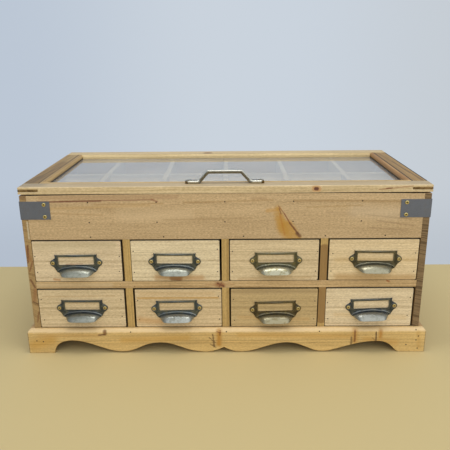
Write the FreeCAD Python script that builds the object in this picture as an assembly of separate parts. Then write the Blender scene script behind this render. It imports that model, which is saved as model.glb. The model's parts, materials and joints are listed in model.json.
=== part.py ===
"""Table-top haberdashery cabinet in pine: eight small drawers in two rows under a shallow
divided tray, which a framed glass lid on two butt hinges closes.

Frame: millimetres, +Z up, X to the right, the drawers face -Y. The origin is on the floor,
below the centre of the overall box. Each part/NODE.step holds one piece, or the equal
copies of one small piece.
"""
import FreeCAD, Part
import math
import os

V = FreeCAD.Vector

# ---------------------------------------------------------------- driving sizes (mm)
# Lid
LID_W = 600.0            # across the front
LID_D = 290.0            # front to back, flush with the case at both
LID_T = 10.3             # frame thickness
LID_RAIL_W = 27.0        # flat face of the front and back rails
LID_SIDE_RAIL_W = 24.0   # flat face of the side rails
LID_TENON_T = 3.3        # open tenons, as wide as the side rails with their ledge
LID_LEDGE_W = 5.4        # ledge under the glass
LID_LEDGE_T = 1.2
LID_SIDE_OVERHANG = 1.2  # past the case sides
LID_GAP = 2.2            # between lid and case, made by the hinge leaves
GLASS_T = 1.8
GLASS_EDGE_GAP = 0.5
BEAD_W = 6.8             # glazing bead, seen from above
BEAD_FLAT_W = 2.6        # its flat top, along the rail
BEAD_LIP_H = 2.6         # upright edge on the glass, below the round
BEAD_PROUD = 0.5         # its top above the rails
# Case
SIDE_T = 10.0
BACK_T = 10.0
BASE_T = 10.0
SHELF_T = 11.3
TRAY_FLOOR_T = 10.0
DIVIDER_T = 11.0         # uprights between the drawers
LOW_OPENING_H = 65.9
UP_OPENING_H = 67.2
COLUMNS = 4
FRONT_PANEL_T = 10.0
FRONT_PANEL_H = 67.5     # at its ends, from the underside of the tray floor
FRONT_PANEL_SEAT = 0.3   # crown of its top edge to the closed lid
# Tray
TRAY_DIV_T = 8.0
TRAY_DIV_H = 55.4
TRAY_DIV_PITCH = 99.7
TRAY_CROSS = 5
# Plinth
PLINTH_H = 39.7
PLINTH_T = 9.2
PLINTH_ROUND = 6.0       # rounded top edge
FOOT_W = 40.0
SCALLOP_H = 21.5
SIDE_SCALLOP_H = 16.0
# Drawers
DRAWER_SIDE_GAP = 1.75
DRAWER_TOP_GAP = 2.3
DRAWER_BOTTOM_GAP = 0.4
DRAWER_BACK_GAP = 6.0
DRAWER_FRONT_T = 10.0
DRAWER_SIDE_T = 6.5
DRAWER_BACK_T = 6.5
DRAWER_FLOOR_T = 4.0
DRAWER_WALL_DROP = 2.0   # walls lower than the front
DRAWER_TRAVEL = 200.0
DRAWER_SHIFTS = [-1.2, -1.3, -0.5, 0.3, -1.0, 0.8, 0.6, -1.3]  # sideways, in their openings
# Cup pulls with card frame
PULL_FRAME_W = 63.0
PULL_FRAME_T = 2.2
PULL_POST_W = 4.8
PULL_TOP_BAR_H = 3.1
PULL_WINDOW_H = 12.2
PULL_STRIP_H = 4.6       # plate between window and cup
PULL_PLATE_T = 1.2
PULL_EAR_R = 4.75
PULL_SCREW_PITCH = 70.0
PULL_SCREW_DROP = 12.35  # screws below the top of the frame
PULL_SHOULDER_DROP = 4.4 # where the ears' upper flanks leave the posts
PULL_HIP_DROP = 19.5     # where their lower flanks end
PULL_HIP_OUT = 2.3       # and this far out from the frame
PULL_WAIST_DROP = 24.0   # where the plate is as wide as its frame again
CUP_W = 55.0
CUP_H = 10.7
CUP_OUT = 15.2           # how far it stands out of the drawer front
CUP_WALL = 1.2
CUP_RING_W = 1.8         # raised arch around the cup
UP_PULL_DROP = 21.35     # frame below the top of the drawer front
LOW_PULL_DROP = 17.75
# Set by hand, so each sits a little off: sideways, up, turned in degrees.
PULL_OFFSETS = [(-2.1, -0.1, 0.5), (-1.2, 1.1, -0.35), (2.6, 1.9, 0.35), (2.8, 3.7, -0.6),
                (0.5, 0.5, -0.15), (-2.6, -1.0, 0.95), (2.0, -3.1, 1.5), (3.6, 0.7, 1.85)]
# Lid handle
HANDLE_L = 116.4
HANDLE_TOP_L = 49.0
HANDLE_H = 19.6
HANDLE_T = 5.2
HANDLE_BAR_W = 6.4
HANDLE_EDGE_R = 1.6
HANDLE_FOOT_L = 20.5
HANDLE_ANKLE_L = 3.0     # bar running on into the foot
HANDLE_FOOT_W = 9.6
HANDLE_FOOT_T = 4.8
HANDLE_SETBACK = 20.2    # from the lid's front edge to its middle
HANDLE_SCREW_IN = 6.2    # from the tip of a foot
# Corner brackets
BRACKET_LEG = 44.5
BRACKET_H = 27.3
BRACKET_T = 0.9
BRACKET_DROP = 8.5       # below the top of the case
BRACKET_SCREW_IN = 8.2   # from the end of a leg
BRACKET_SCREW_EDGE = 4.5
# Hinges
HINGE_L = 38.0
HINGE_INSET = 95.0       # hinge middle from the case side
HINGE_LEAF_T = 0.9
HINGE_LEAF_W = 9.2
HINGE_KNUCKLE_R = 2.4
HINGE_PIN_R = 1.1
HINGE_PIN_FIT = 0.06     # radial, in the lid knuckles
HINGE_PIN_OUT = 2.7      # pin behind the back face
HINGE_KNUCKLES = 5
HINGE_KNUCKLE_GAP = 0.3
HINGE_SCREWS = 3
HINGE_SCREW_PITCH = 13.0
# Screws and pins
PULL_SCREW = (2.6, 1.3, 1.3, 8.5)     # head radius, head height, shank radius, shank length
HANDLE_SCREW = (3.0, 1.6, 1.5, 10.5)
BRACKET_SCREW = (2.7, 1.2, 1.3, 8.5)
HINGE_SCREW = (1.9, 0.9, 1.0, 8.0)
PIN_R = 0.8
PIN_L = 24.0
# Driven by eye: shares of the inner half width, and of the height of the board they enter.
FLOOR_PIN_SPOTS = [-0.69, -0.315, 0.094, 0.512, 0.817]
BASE_PIN_SPOTS = [-0.511, 0.002, 0.499]
BASE_PIN_SHARE = 0.9
DIVIDER_PIN_SHARES = [0.287, 0.816]
FLOOR_PIN_SHARE = 0.39   # of the tray floor's thickness
# Through the plinth into the side boards: inset from the case side, share of the height.
LEFT_PIN_INSETS = [4.3]
LEFT_PIN_SHARES = [0.54]
RIGHT_PIN_INSETS = [6.2, 1.9, 5.1, 1.9]
RIGHT_PIN_SHARES = [0.94, 0.68, 0.51, 0.15]

# ---------------------------------------------------------------- derived places
CASE_W = LID_W - 2 * LID_SIDE_OVERHANG
CASE_D = LID_D
INNER_W = CASE_W - 2 * SIDE_T
OPENING_W = (INNER_W - (COLUMNS - 1) * DIVIDER_T) / COLUMNS

FRONT_OUT = max(CUP_OUT, PLINTH_T)
BACK_OUT = HINGE_PIN_OUT + HINGE_KNUCKLE_R
Y_FRONT = (FRONT_OUT - BACK_OUT - CASE_D) / 2     # case and lid front face
Y_BACK = Y_FRONT + CASE_D
Y_IN_BACK = Y_BACK - BACK_T

Z_BASE = PLINTH_H - BASE_T
Z_LOW = PLINTH_H
Z_SHELF = Z_LOW + LOW_OPENING_H
Z_UP = Z_SHELF + SHELF_T
Z_TRAY_FLOOR = Z_UP + UP_OPENING_H
Z_TRAY = Z_TRAY_FLOOR + TRAY_FLOOR_T
Z_CASE = Z_TRAY_FLOOR + FRONT_PANEL_H
Z_LID = Z_CASE + LID_GAP
Z_LID_TOP = Z_LID + LID_T
Z_GLASS = Z_LID + LID_LEDGE_T
Z_PIN = Z_CASE + LID_GAP / 2

ROUND_R = min(PLINTH_ROUND, 0.9 * PLINTH_T)

PULL_H = PULL_TOP_BAR_H + PULL_WINDOW_H + PULL_STRIP_H + CUP_H
TRAY_X = [(i - (TRAY_CROSS - 1) / 2) * TRAY_DIV_PITCH for i in range(TRAY_CROSS)]
TRAY_Y = (Y_FRONT + FRONT_PANEL_T + Y_IN_BACK) / 2
HINGE_X = [-(CASE_W / 2 - HINGE_INSET), CASE_W / 2 - HINGE_INSET]


# ---------------------------------------------------------------- helpers
def box(x0, x1, y0, y1, z0, z1):
    return Part.makeBox(x1 - x0, y1 - y0, z1 - z0, V(x0, y0, z0))


def prism(points, direction):
    """Closed polygon of 3-D points, extruded along a vector."""
    return Part.Face(Part.makePolygon(points + points[:1])).extrude(direction)


def mirror_x(shape):
    return shape.mirror(V(0, 0, 0), V(1, 0, 0))


def fuse(shapes):
    return shapes[0].multiFuse(shapes[1:]).removeSplitter()


def moved(shape, position, rotation=FreeCAD.Rotation()):
    """Copy of a shape, turned about the origin and then moved."""
    out = shape.copy()
    out.Placement = FreeCAD.Placement(position, rotation).multiply(shape.Placement)
    return out


def facing(shape, position, direction):
    """Copy of a shape built along +Z, standing at a position and pointing in a direction."""
    return moved(shape, position, FreeCAD.Rotation(V(0, 0, 1), direction))


def round_screw(size):
    """Domed screw: seat at z = 0, head above, shank below."""
    head_r, head_h, shank_r, shank_l = size
    cap_r = (head_r ** 2 + head_h ** 2) / (2 * head_h)
    angle = math.asin(head_r / cap_r) / 2
    cap = V(cap_r * math.sin(angle), 0, head_h - cap_r + cap_r * math.cos(angle))
    profile = Part.Wire([
        Part.makeLine(V(0, 0, -shank_l), V(shank_r, 0, -shank_l + shank_r)),
        Part.makeLine(V(shank_r, 0, -shank_l + shank_r), V(shank_r, 0, 0)),
        Part.makeLine(V(shank_r, 0, 0), V(head_r, 0, 0)),
        Part.Arc(V(head_r, 0, 0), cap, V(0, 0, head_h)).toShape(),
        Part.makeLine(V(0, 0, head_h), V(0, 0, -shank_l))])
    return Part.Face(profile).revolve(V(0, 0, 0), V(0, 0, 1), 360)


def flat_screw(size):
    """Countersunk screw: head flush with z = 0, all of it below."""
    head_r, head_h, shank_r, shank_l = size
    points = [V(0, 0, -shank_l), V(shank_r, 0, -shank_l), V(shank_r, 0, -head_h),
              V(head_r, 0, 0), V(0, 0, 0)]
    face = Part.Face(Part.makePolygon(points + points[:1]))
    return face.revolve(V(0, 0, 0), V(0, 0, 1), 360)


def pin_at(x, y, z):
    """Panel pin driven along +Y, its head flush with the face at y."""
    return facing(Part.makeCylinder(PIN_R, PIN_L), V(x, y, z), V(0, 1, 0))


def plinth_pin(x, z):
    """Pin through the front of the plinth, its head on the flat face or the rounded edge."""
    above = max(0, z - PIN_R - (PLINTH_H - ROUND_R))
    return pin_at(x, Y_FRONT - PLINTH_T + ROUND_R - math.sqrt(ROUND_R ** 2 - above ** 2), z)


def drill(shape, fasteners):
    return shape.cut(Part.makeCompound(fasteners)) if fasteners else shape


NODES = {}


def node(name, *solids):
    NODES[name] = solids[0] if len(solids) == 1 else Part.makeCompound(list(solids))


# ---------------------------------------------------------------- case boards
def case_boards(bracket_screws, hinge_screws, pins):
    # The sides run down to the floor, sawn out below together with the plinth.
    half = CASE_W / 2
    side = box(-half, -half + SIDE_T, Y_FRONT, Y_BACK, 0, Z_CASE).cut(side_arch())
    node("left_side_panel", drill(side, bracket_screws + pins))
    node("right_side_panel", drill(mirror_x(side), bracket_screws + pins))

    inner = INNER_W / 2
    node("back_panel", drill(box(-inner, inner, Y_IN_BACK, Y_BACK, Z_BASE, Z_CASE), hinge_screws))

    # The front panel's top edge is crowned: the lid seats on its middle.
    crown = Z_LID - FRONT_PANEL_SEAT
    outline = Part.Wire([
        Part.makeLine(V(-inner, Y_FRONT, Z_CASE), V(-inner, Y_FRONT, Z_TRAY_FLOOR)),
        Part.makeLine(V(-inner, Y_FRONT, Z_TRAY_FLOOR), V(inner, Y_FRONT, Z_TRAY_FLOOR)),
        Part.makeLine(V(inner, Y_FRONT, Z_TRAY_FLOOR), V(inner, Y_FRONT, Z_CASE)),
        Part.Arc(V(inner, Y_FRONT, Z_CASE), V(0, Y_FRONT, crown),
                 V(-inner, Y_FRONT, Z_CASE)).toShape()])
    panel = Part.Face(outline).extrude(V(0, FRONT_PANEL_T, 0))
    node("front_panel", drill(panel, bracket_screws + pins))

    floor = box(-inner, inner, Y_FRONT + FRONT_PANEL_T, Y_IN_BACK, Z_TRAY_FLOOR, Z_TRAY)
    node("tray_floor", drill(floor, pins))
    node("drawer_shelf", box(-inner, inner, Y_FRONT, Y_IN_BACK, Z_SHELF, Z_UP))
    base = box(-inner, inner, Y_FRONT, Y_IN_BACK, Z_BASE, Z_LOW)
    node("base_panel", drill(base, pins))

    uprights = []
    for i in range(1, COLUMNS):
        x = -inner + i * (OPENING_W + DIVIDER_T)
        for z0, height in ((Z_UP, UP_OPENING_H), (Z_LOW, LOW_OPENING_H)):
            uprights.append(box(x - DIVIDER_T, x, Y_FRONT, Y_IN_BACK, z0, z0 + height))
    node("drawer_dividers", *uprights)


# ---------------------------------------------------------------- tray dividers
def tray_dividers(pins):
    y0, y1 = Y_FRONT + FRONT_PANEL_T, Y_IN_BACK
    z0, z1 = Z_TRAY, Z_TRAY + TRAY_DIV_H
    middle = (z0 + z1) / 2
    half_t = TRAY_DIV_T / 2
    long_board = box(-INNER_W / 2, INNER_W / 2, TRAY_Y - half_t, TRAY_Y + half_t, z0, z1)
    crosses = []
    for x in TRAY_X:
        # Halved together: the cross board is notched above, the long board below.
        lap = (x - half_t, x + half_t, TRAY_Y - half_t, TRAY_Y + half_t)
        board = box(x - half_t, x + half_t, y0, y1, z0, z1).cut(box(*lap, middle, z1))
        crosses.append(drill(board, pins))
        long_board = long_board.cut(box(*lap, z0, middle))
    node("tray_long_divider", long_board)
    node("tray_cross_dividers", *crosses)


# ---------------------------------------------------------------- plinth
# Lower edges, foot to foot: share of the clear half span, share of the height. The front is
# sawn by hand, so its halves differ; they meet in a cusp.
FRONT_SCALLOP = [
    [(-1.0, 0), (-0.995, 0.30), (-0.974, 0.70), (-0.94, 0.92), (-0.90, 1.0), (-0.85, 0.95),
     (-0.799, 0.78), (-0.736, 0.50), (-0.673, 0.23), (-0.61, 0.10), (-0.569, 0.14),
     (-0.523, 0.31), (-0.47, 0.61), (-0.43, 0.75), (-0.385, 0.81), (-0.333, 0.75),
     (-0.282, 0.55), (-0.218, 0.25), (-0.154, 0.08), (-0.109, 0.04), (-0.07, 0.13), (-0.012, 0.42)],
    [(-0.012, 0.42), (0.053, 0.09), (0.092, 0.04), (0.144, 0.13), (0.202, 0.35), (0.266, 0.61),
     (0.324, 0.76), (0.36, 0.78), (0.40, 0.71), (0.44, 0.54), (0.486, 0.29), (0.525, 0.12),
     (0.564, 0.07), (0.62, 0.20), (0.691, 0.46), (0.748, 0.66), (0.799, 0.79), (0.843, 0.85),
     (0.882, 0.86), (0.914, 0.79), (0.941, 0.62), (0.962, 0.38), (0.985, 0.10), (1.0, 0)]]
SIDE_SCALLOP = [[(-1.0, 0), (-0.965, 0.52), (-0.9, 0.93), (-0.8, 1.0), (-0.6, 0.92), (-0.3, 0.82),
                 (0, 0.80), (0.3, 0.82), (0.6, 0.92), (0.8, 1.0), (0.9, 0.93), (0.965, 0.52),
                 (1.0, 0)]]


def scallop(runs, half_span, height):
    """Cutter in the XZ plane for a lower edge, centred on x = 0, from 1 mm below z = 0."""
    curves = []
    for run in runs:
        curve = Part.BSplineCurve()
        curve.interpolate([V(s * half_span, 0, h * height) for s, h in run])
        curves.append(curve.toShape())
    low = [V(half_span, 0, 0), V(half_span, 0, -1), V(-half_span, 0, -1), V(-half_span, 0, 0)]
    lines = [Part.makeLine(a, b) for a, b in zip(low, low[1:])]
    return Part.Face(Part.Wire(curves + lines))


def side_arch():
    """Cutter through the left side board and the plinth outside it."""
    depth = PLINTH_T + SIDE_T + 2
    cutter = scallop(SIDE_SCALLOP, CASE_D / 2 - FOOT_W, SIDE_SCALLOP_H).extrude(V(0, depth, 0))
    turn = FreeCAD.Rotation(V(0, 0, 1), 90)
    return moved(cutter, V(-CASE_W / 2 + SIDE_T + 1, (Y_FRONT + Y_BACK) / 2, 0), turn)


def plinth(pins):
    half = CASE_W / 2 + PLINTH_T
    y0 = Y_FRONT - PLINTH_T

    front = box(-half, half, y0, Y_FRONT, 0, PLINTH_H)
    rounded = [e for e in front.Edges
               if e.BoundBox.ZMin > PLINTH_H - 0.01 and e.BoundBox.YMin < y0 + 0.01]
    front = front.makeFillet(ROUND_R, rounded)
    cutter = scallop(FRONT_SCALLOP, half - FOOT_W, SCALLOP_H).extrude(V(0, PLINTH_T + 2, 0))
    node("plinth_front", drill(front.cut(moved(cutter, V(0, y0 - 1, 0))), pins))

    side = box(-half, -CASE_W / 2, Y_FRONT, Y_BACK, 0, PLINTH_H)
    top = [e for e in side.Edges
           if e.BoundBox.ZMin > PLINTH_H - 0.01 and e.BoundBox.XMax < -half + 0.01]
    side = side.makeFillet(ROUND_R, top).cut(side_arch())
    node("plinth_left", side)
    node("plinth_right", mirror_x(side))


# ---------------------------------------------------------------- corner brackets
def corner_brackets():
    half = CASE_W / 2
    z1 = Z_CASE - BRACKET_DROP
    z0 = z1 - BRACKET_H
    y0 = Y_FRONT - BRACKET_T
    front = box(-half - BRACKET_T, -half - BRACKET_T + BRACKET_LEG, y0, Y_FRONT, z0, z1)
    side = box(-half - BRACKET_T, -half, y0, y0 + BRACKET_LEG, z0, z1)
    angle = fuse([front, side])
    heads = []
    screw = round_screw(BRACKET_SCREW)
    for z in (z0 + BRACKET_SCREW_EDGE, z1 - BRACKET_SCREW_EDGE):
        x = -half - BRACKET_T + BRACKET_LEG - BRACKET_SCREW_IN
        heads.append(facing(screw, V(x, y0, z), V(0, -1, 0)))
        y = y0 + BRACKET_LEG - BRACKET_SCREW_IN
        heads.append(facing(screw, V(-half - BRACKET_T, y, z), V(-1, 0, 0)))
    angle = drill(angle, heads)
    node("corner_brackets", angle, mirror_x(angle))
    return heads + [mirror_x(s) for s in heads]


# ---------------------------------------------------------------- hinges
def knuckle_spans():
    """Start and end of every knuckle along a hinge, from its middle."""
    length = (HINGE_L - (HINGE_KNUCKLES - 1) * HINGE_KNUCKLE_GAP) / HINGE_KNUCKLES
    starts = [-HINGE_L / 2 + i * (length + HINGE_KNUCKLE_GAP) for i in range(HINGE_KNUCKLES)]
    return [(s, s + length) for s in starts]


def leaf(x, spans, z0, bore_r, screws):
    """A plate with its knuckles, around the pin axis."""
    axis = V(0, Y_BACK + HINGE_PIN_OUT, Z_PIN)
    z1 = z0 + HINGE_LEAF_T
    clear = axis.y - HINGE_KNUCKLE_R - HINGE_KNUCKLE_GAP
    pieces = [box(x - HINGE_L / 2, x + HINGE_L / 2, Y_BACK - HINGE_LEAF_W, clear, z0, z1)]
    for s0, s1 in spans:
        pieces.append(box(x + s0, x + s1, clear - 1, axis.y, z0, z1))
        pieces.append(Part.makeCylinder(HINGE_KNUCKLE_R, s1 - s0, V(x + s0, axis.y, axis.z),
                                        V(1, 0, 0)))
    bore = Part.makeCylinder(bore_r, HINGE_L, V(x - HINGE_L / 2, axis.y, axis.z), V(1, 0, 0))
    return drill(fuse(pieces).cut(bore), screws)


def hinges():
    screw = flat_screw(HINGE_SCREW)
    y = Y_BACK - HINGE_LEAF_W / 2
    shifts = [(i - (HINGE_SCREWS - 1) / 2) * HINGE_SCREW_PITCH for i in range(HINGE_SCREWS)]
    spots = [x + dx for x in HINGE_X for dx in shifts]
    z_body = Z_CASE + HINGE_LEAF_T
    z_lid = Z_LID - HINGE_LEAF_T
    body_screws = [facing(screw, V(x, y, z_body), V(0, 0, 1)) for x in spots]
    lid_screws = [facing(screw, V(x, y, z_lid), V(0, 0, -1)) for x in spots]
    spans = knuckle_spans()
    node("hinge_body_leaves", *[leaf(x, spans[0::2], Z_CASE, HINGE_PIN_R, body_screws)
                                for x in HINGE_X])
    node("hinge_lid_leaves", *[leaf(x, spans[1::2], z_lid, HINGE_PIN_R + HINGE_PIN_FIT, lid_screws)
                               for x in HINGE_X])
    node("hinge_pins", *[Part.makeCylinder(HINGE_PIN_R, HINGE_L,
                                           V(x - HINGE_L / 2, Y_BACK + HINGE_PIN_OUT, Z_PIN),
                                           V(1, 0, 0)) for x in HINGE_X])
    node("hinge_lid_screws", *lid_screws)
    return body_screws, lid_screws


# ---------------------------------------------------------------- lid
def glazing_beads():
    """Four mitred mouldings on top of the glass, rounded over towards the opening."""
    z0 = Z_GLASS + GLASS_T
    height = Z_LID_TOP + BEAD_PROUD - z0
    shoulder = V(0, BEAD_FLAT_W, height)
    lip = V(0, BEAD_W, BEAD_LIP_H)
    bulge = V(0, BEAD_FLAT_W + (BEAD_W - BEAD_FLAT_W) * 0.7,
              BEAD_LIP_H + (height - BEAD_LIP_H) * 0.7)
    inner_w = LID_W - 2 * LID_SIDE_RAIL_W
    inner_d = LID_D - 2 * LID_RAIL_W
    y_mid = Y_FRONT + LID_D / 2
    beads = []
    for turn, length, reach in ((0, inner_w, inner_d), (180, inner_w, inner_d),
                                (90, inner_d, inner_w), (270, inner_d, inner_w)):
        section = Part.Wire([
            Part.makeLine(V(0, 0, 0), V(0, 0, height)),
            Part.makeLine(V(0, 0, height), shoulder),
            Part.Arc(shoulder, bulge, lip).toShape(),
            Part.makeLine(lip, V(0, BEAD_W, 0)),
            Part.makeLine(V(0, BEAD_W, 0), V(0, 0, 0))])
        strip = moved(Part.Face(section).extrude(V(length, 0, 0)), V(-length / 2, 0, 0))
        mitre = prism([V(-length / 2, 0, 0), V(length / 2, 0, 0),
                       V(length / 2 - BEAD_W, BEAD_W, 0), V(-length / 2 + BEAD_W, BEAD_W, 0)],
                      V(0, 0, LID_T))
        bead = moved(strip.common(mitre), V(0, -reach / 2, 0))
        beads.append(moved(bead, V(0, y_mid, z0), FreeCAD.Rotation(V(0, 0, 1), turn)))
    node("lid_glass_beads", *beads)


def lid(hinge_screws, handle_screws):
    half = LID_W / 2
    y0, y1 = Y_FRONT, Y_FRONT + LID_D
    z_tenon = Z_LID + (LID_T - LID_TENON_T) / 2
    inner = half - LID_SIDE_RAIL_W
    shoulder = inner - LID_LEDGE_W    # where the tenons end

    def cross_rail(ya, yb, ledge_a, ledge_b, fasteners):
        rail = fuse([box(-half, half, ya, yb, Z_LID, Z_LID_TOP),
                     box(-inner, inner, ledge_a, ledge_b, Z_LID, Z_GLASS)])
        for side in (-1, 1):
            x0, x1 = sorted((side * shoulder, side * (half + 1)))
            rail = rail.cut(box(x0, x1, ya - 1, yb + 1, z_tenon, z_tenon + LID_TENON_T))
        return drill(rail, fasteners)

    fy, by = y0 + LID_RAIL_W, y1 - LID_RAIL_W
    node("lid_front_rail", cross_rail(y0, fy, fy - 1, fy + LID_LEDGE_W, handle_screws))
    node("lid_back_rail", cross_rail(by, y1, by - LID_LEDGE_W, by + 1, hinge_screws))
    left = fuse([box(-half, -inner, fy, by, Z_LID, Z_LID_TOP),
                 box(-half, -shoulder, y0, fy, z_tenon, z_tenon + LID_TENON_T),
                 box(-half, -shoulder, by, y1, z_tenon, z_tenon + LID_TENON_T),
                 box(-inner - 1, -inner + LID_LEDGE_W, fy + LID_LEDGE_W, by - LID_LEDGE_W,
                     Z_LID, Z_GLASS)])
    node("lid_left_rail", left)
    node("lid_right_rail", mirror_x(left))

    gx = inner - GLASS_EDGE_GAP
    node("lid_glass", box(-gx, gx, fy + GLASS_EDGE_GAP, by - GLASS_EDGE_GAP,
                          Z_GLASS, Z_GLASS + GLASS_T))
    glazing_beads()


def ribbon(points, thickness, width):
    """Bar of even thickness along a polyline in the XZ plane, mitred at its bends."""
    offset_up, offset_down = [], []
    for i, p in enumerate(points):
        before = (p - points[i - 1]).normalize() if i else None
        after = (points[i + 1] - p).normalize() if i + 1 < len(points) else None
        mean = ((before or after) + (after or before)).normalize()
        normal = V(-mean.z, 0, mean.x)
        stretch = thickness / 2 / max(0.2, mean.dot(after or before))
        offset_up.append(p + normal * stretch)
        offset_down.append(p - normal * stretch)
    bar = prism(offset_up + offset_down[::-1], V(0, width, 0))
    return moved(bar, V(0, -width / 2, 0))


def lid_handle():
    top = HANDLE_TOP_L / 2
    foot = HANDLE_L / 2 - HANDLE_FOOT_L
    low, high = HANDLE_T / 2, HANDLE_H - HANDLE_T / 2
    ankle = foot + HANDLE_ANKLE_L
    bar = ribbon([V(-ankle, 0, low), V(-foot, 0, low), V(-top, 0, high), V(top, 0, high),
                  V(foot, 0, low), V(ankle, 0, low)], HANDLE_T, HANDLE_BAR_W)
    long_edges = [e for e in bar.Edges if e.BoundBox.YLength < 0.01 and e.BoundBox.XLength > 0.01]
    radius = min(HANDLE_EDGE_R, 0.4 * min(HANDLE_T, HANDLE_BAR_W))
    bar = bar.makeFillet(radius, long_edges)
    round_r = HANDLE_FOOT_W / 2
    tip = HANDLE_L / 2 - round_r
    pieces = [bar]
    for side in (-1, 1):
        x0, x1 = sorted((side * foot, side * tip))
        pieces.append(box(x0, x1, -round_r, round_r, 0, HANDLE_FOOT_T))
        pieces.append(Part.makeCylinder(round_r, HANDLE_FOOT_T, V(side * tip, 0, 0)))
    place = V(0, Y_FRONT + HANDLE_SETBACK, Z_LID_TOP)
    screw = round_screw(HANDLE_SCREW)
    spot = HANDLE_L / 2 - HANDLE_SCREW_IN
    screws = [facing(screw, place + V(side * spot, 0, HANDLE_FOOT_T), V(0, 0, 1))
              for side in (-1, 1)]
    node("lid_handle", drill(moved(fuse(pieces), place), screws))
    node("lid_handle_screws", *screws)
    return screws


# ---------------------------------------------------------------- cup pull
# Plan of the cup: share of its half width, share of how far it stands out.
CUP_PLAN = [(-1, 0), (-0.935, 0.24), (-0.87, 0.48), (-0.79, 0.76), (-0.70, 0.90), (-0.53, 0.965),
            (-0.28, 0.994), (0, 1.0)]
CUP_LEVELS = [0.0, 0.28, 0.52, 0.72, 0.87, 0.96, 0.993]


def cup_form(half_w, out, height, below):
    """Quarter dome behind y = 0, its foot at z = 0, carried down by `below`."""
    plan = CUP_PLAN + [(-x, y) for x, y in reversed(CUP_PLAN[:-1])]
    levels = [(-below / height, 1.0)] if below else []
    levels += [(t, math.sqrt(1 - t ** 2)) for t in CUP_LEVELS]
    wires = []
    for t, share in levels:
        run = [V(x * half_w * share, -y * out * share, t * height) for x, y in plan]
        curve = Part.BSplineCurve()
        curve.interpolate(run)
        wires.append(Part.Wire([curve.toShape(), Part.makeLine(run[-1], run[0])]))
    return Part.makeLoft(wires, True, False)


def cup_pull():
    """Pull and its two screws, the back on y = 0 and the frame's top edge on z = 0."""
    frame = PULL_FRAME_W / 2
    ear = PULL_SCREW_PITCH / 2
    z_window = -PULL_TOP_BAR_H - PULL_WINDOW_H
    ear_z = -PULL_SCREW_DROP
    # The lower flank leaves the ear's circle at (0.6, -0.8) of its radius.
    half = [(frame, 0), (frame, -PULL_SHOULDER_DROP),
            (ear, ear_z + PULL_EAR_R), (ear + PULL_EAR_R * 0.6, ear_z - PULL_EAR_R * 0.8),
            (frame + PULL_HIP_OUT, -PULL_HIP_DROP), (frame, -PULL_WAIST_DROP),
            (CUP_W / 2, -PULL_H)]
    outline = [V(x, 0, z) for x, z in half] + [V(-x, 0, z) for x, z in reversed(half)]
    sheet = prism(outline, V(0, -PULL_PLATE_T, 0))
    ring = [V(x * (CUP_W / 2 + CUP_RING_W), 0, z * (CUP_H + CUP_RING_W) - PULL_H)
            for x, z in [(math.cos(math.radians(a)), math.sin(math.radians(a)))
                         for a in range(0, 181, 12)]]
    arch = prism(ring, V(0, -PULL_FRAME_T, 0))
    arch = arch.common(prism(outline, V(0, -PULL_FRAME_T, 0)))
    rim = box(-frame, frame, -PULL_FRAME_T, 0, z_window - PULL_STRIP_H / 2, 0)
    ears = [facing(Part.makeCylinder(PULL_EAR_R, PULL_PLATE_T), V(s * ear, 0, ear_z), V(0, -1, 0))
            for s in (-1, 1)]
    foot = V(0, 0, -PULL_H)
    dome = moved(cup_form(CUP_W / 2, CUP_OUT, CUP_H, 0), foot)
    hollow = moved(cup_form(CUP_W / 2 - CUP_WALL, CUP_OUT - CUP_WALL, CUP_H - CUP_WALL, 1.0), foot)
    window_x = frame - PULL_POST_W
    window = box(-window_x, window_x, -PULL_FRAME_T - 1, 1, z_window, -PULL_TOP_BAR_H)
    body = fuse([sheet, arch, rim, dome] + ears).cut(hollow).cut(window)
    screw = round_screw(PULL_SCREW)
    screws = [facing(screw, V(s * ear, -PULL_PLATE_T, ear_z), V(0, -1, 0)) for s in (-1, 1)]
    return [drill(body, screws)] + screws


# ---------------------------------------------------------------- drawers
def drawer(number, column, z_floor, opening_h, pull_drop, pull_form):
    opening = -INNER_W / 2 + column * (OPENING_W + DIVIDER_T)
    x0 = opening + DRAWER_SIDE_GAP + DRAWER_SHIFTS[number - 1]
    x1 = x0 + OPENING_W - 2 * DRAWER_SIDE_GAP
    z0, z1 = z_floor + DRAWER_BOTTOM_GAP, z_floor + opening_h - DRAWER_TOP_GAP
    y_in, y_end = Y_FRONT + DRAWER_FRONT_T, Y_IN_BACK - DRAWER_BACK_GAP
    z_in, z_wall = z0 + DRAWER_FLOOR_T, z1 - DRAWER_WALL_DROP

    # The pull turns a little about its own middle.
    shift, rise, turn = PULL_OFFSETS[number - 1]
    middle = V(0, 0, -PULL_H / 2)
    place = V((x0 + x1) / 2 + shift, Y_FRONT, z1 - pull_drop + rise) + middle
    turned = FreeCAD.Rotation(V(0, -1, 0), turn)
    pull, *screws = [moved(moved(s, -middle), place, turned) for s in pull_form]

    name = f"drawer_{number}"
    front = box(x0, x1, Y_FRONT, y_in, z0, z1)
    node(name + "_front", drill(front, screws))
    node(name + "_box",
         box(x0, x1, y_in, y_end, z0, z_in),
         box(x0, x0 + DRAWER_SIDE_T, y_in, y_end, z_in, z_wall),
         box(x1 - DRAWER_SIDE_T, x1, y_in, y_end, z_in, z_wall),
         box(x0 + DRAWER_SIDE_T, x1 - DRAWER_SIDE_T, y_end - DRAWER_BACK_T, y_end, z_in, z_wall))
    node(name + "_pull", pull)
    node(name + "_pull_screws", *screws)


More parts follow.
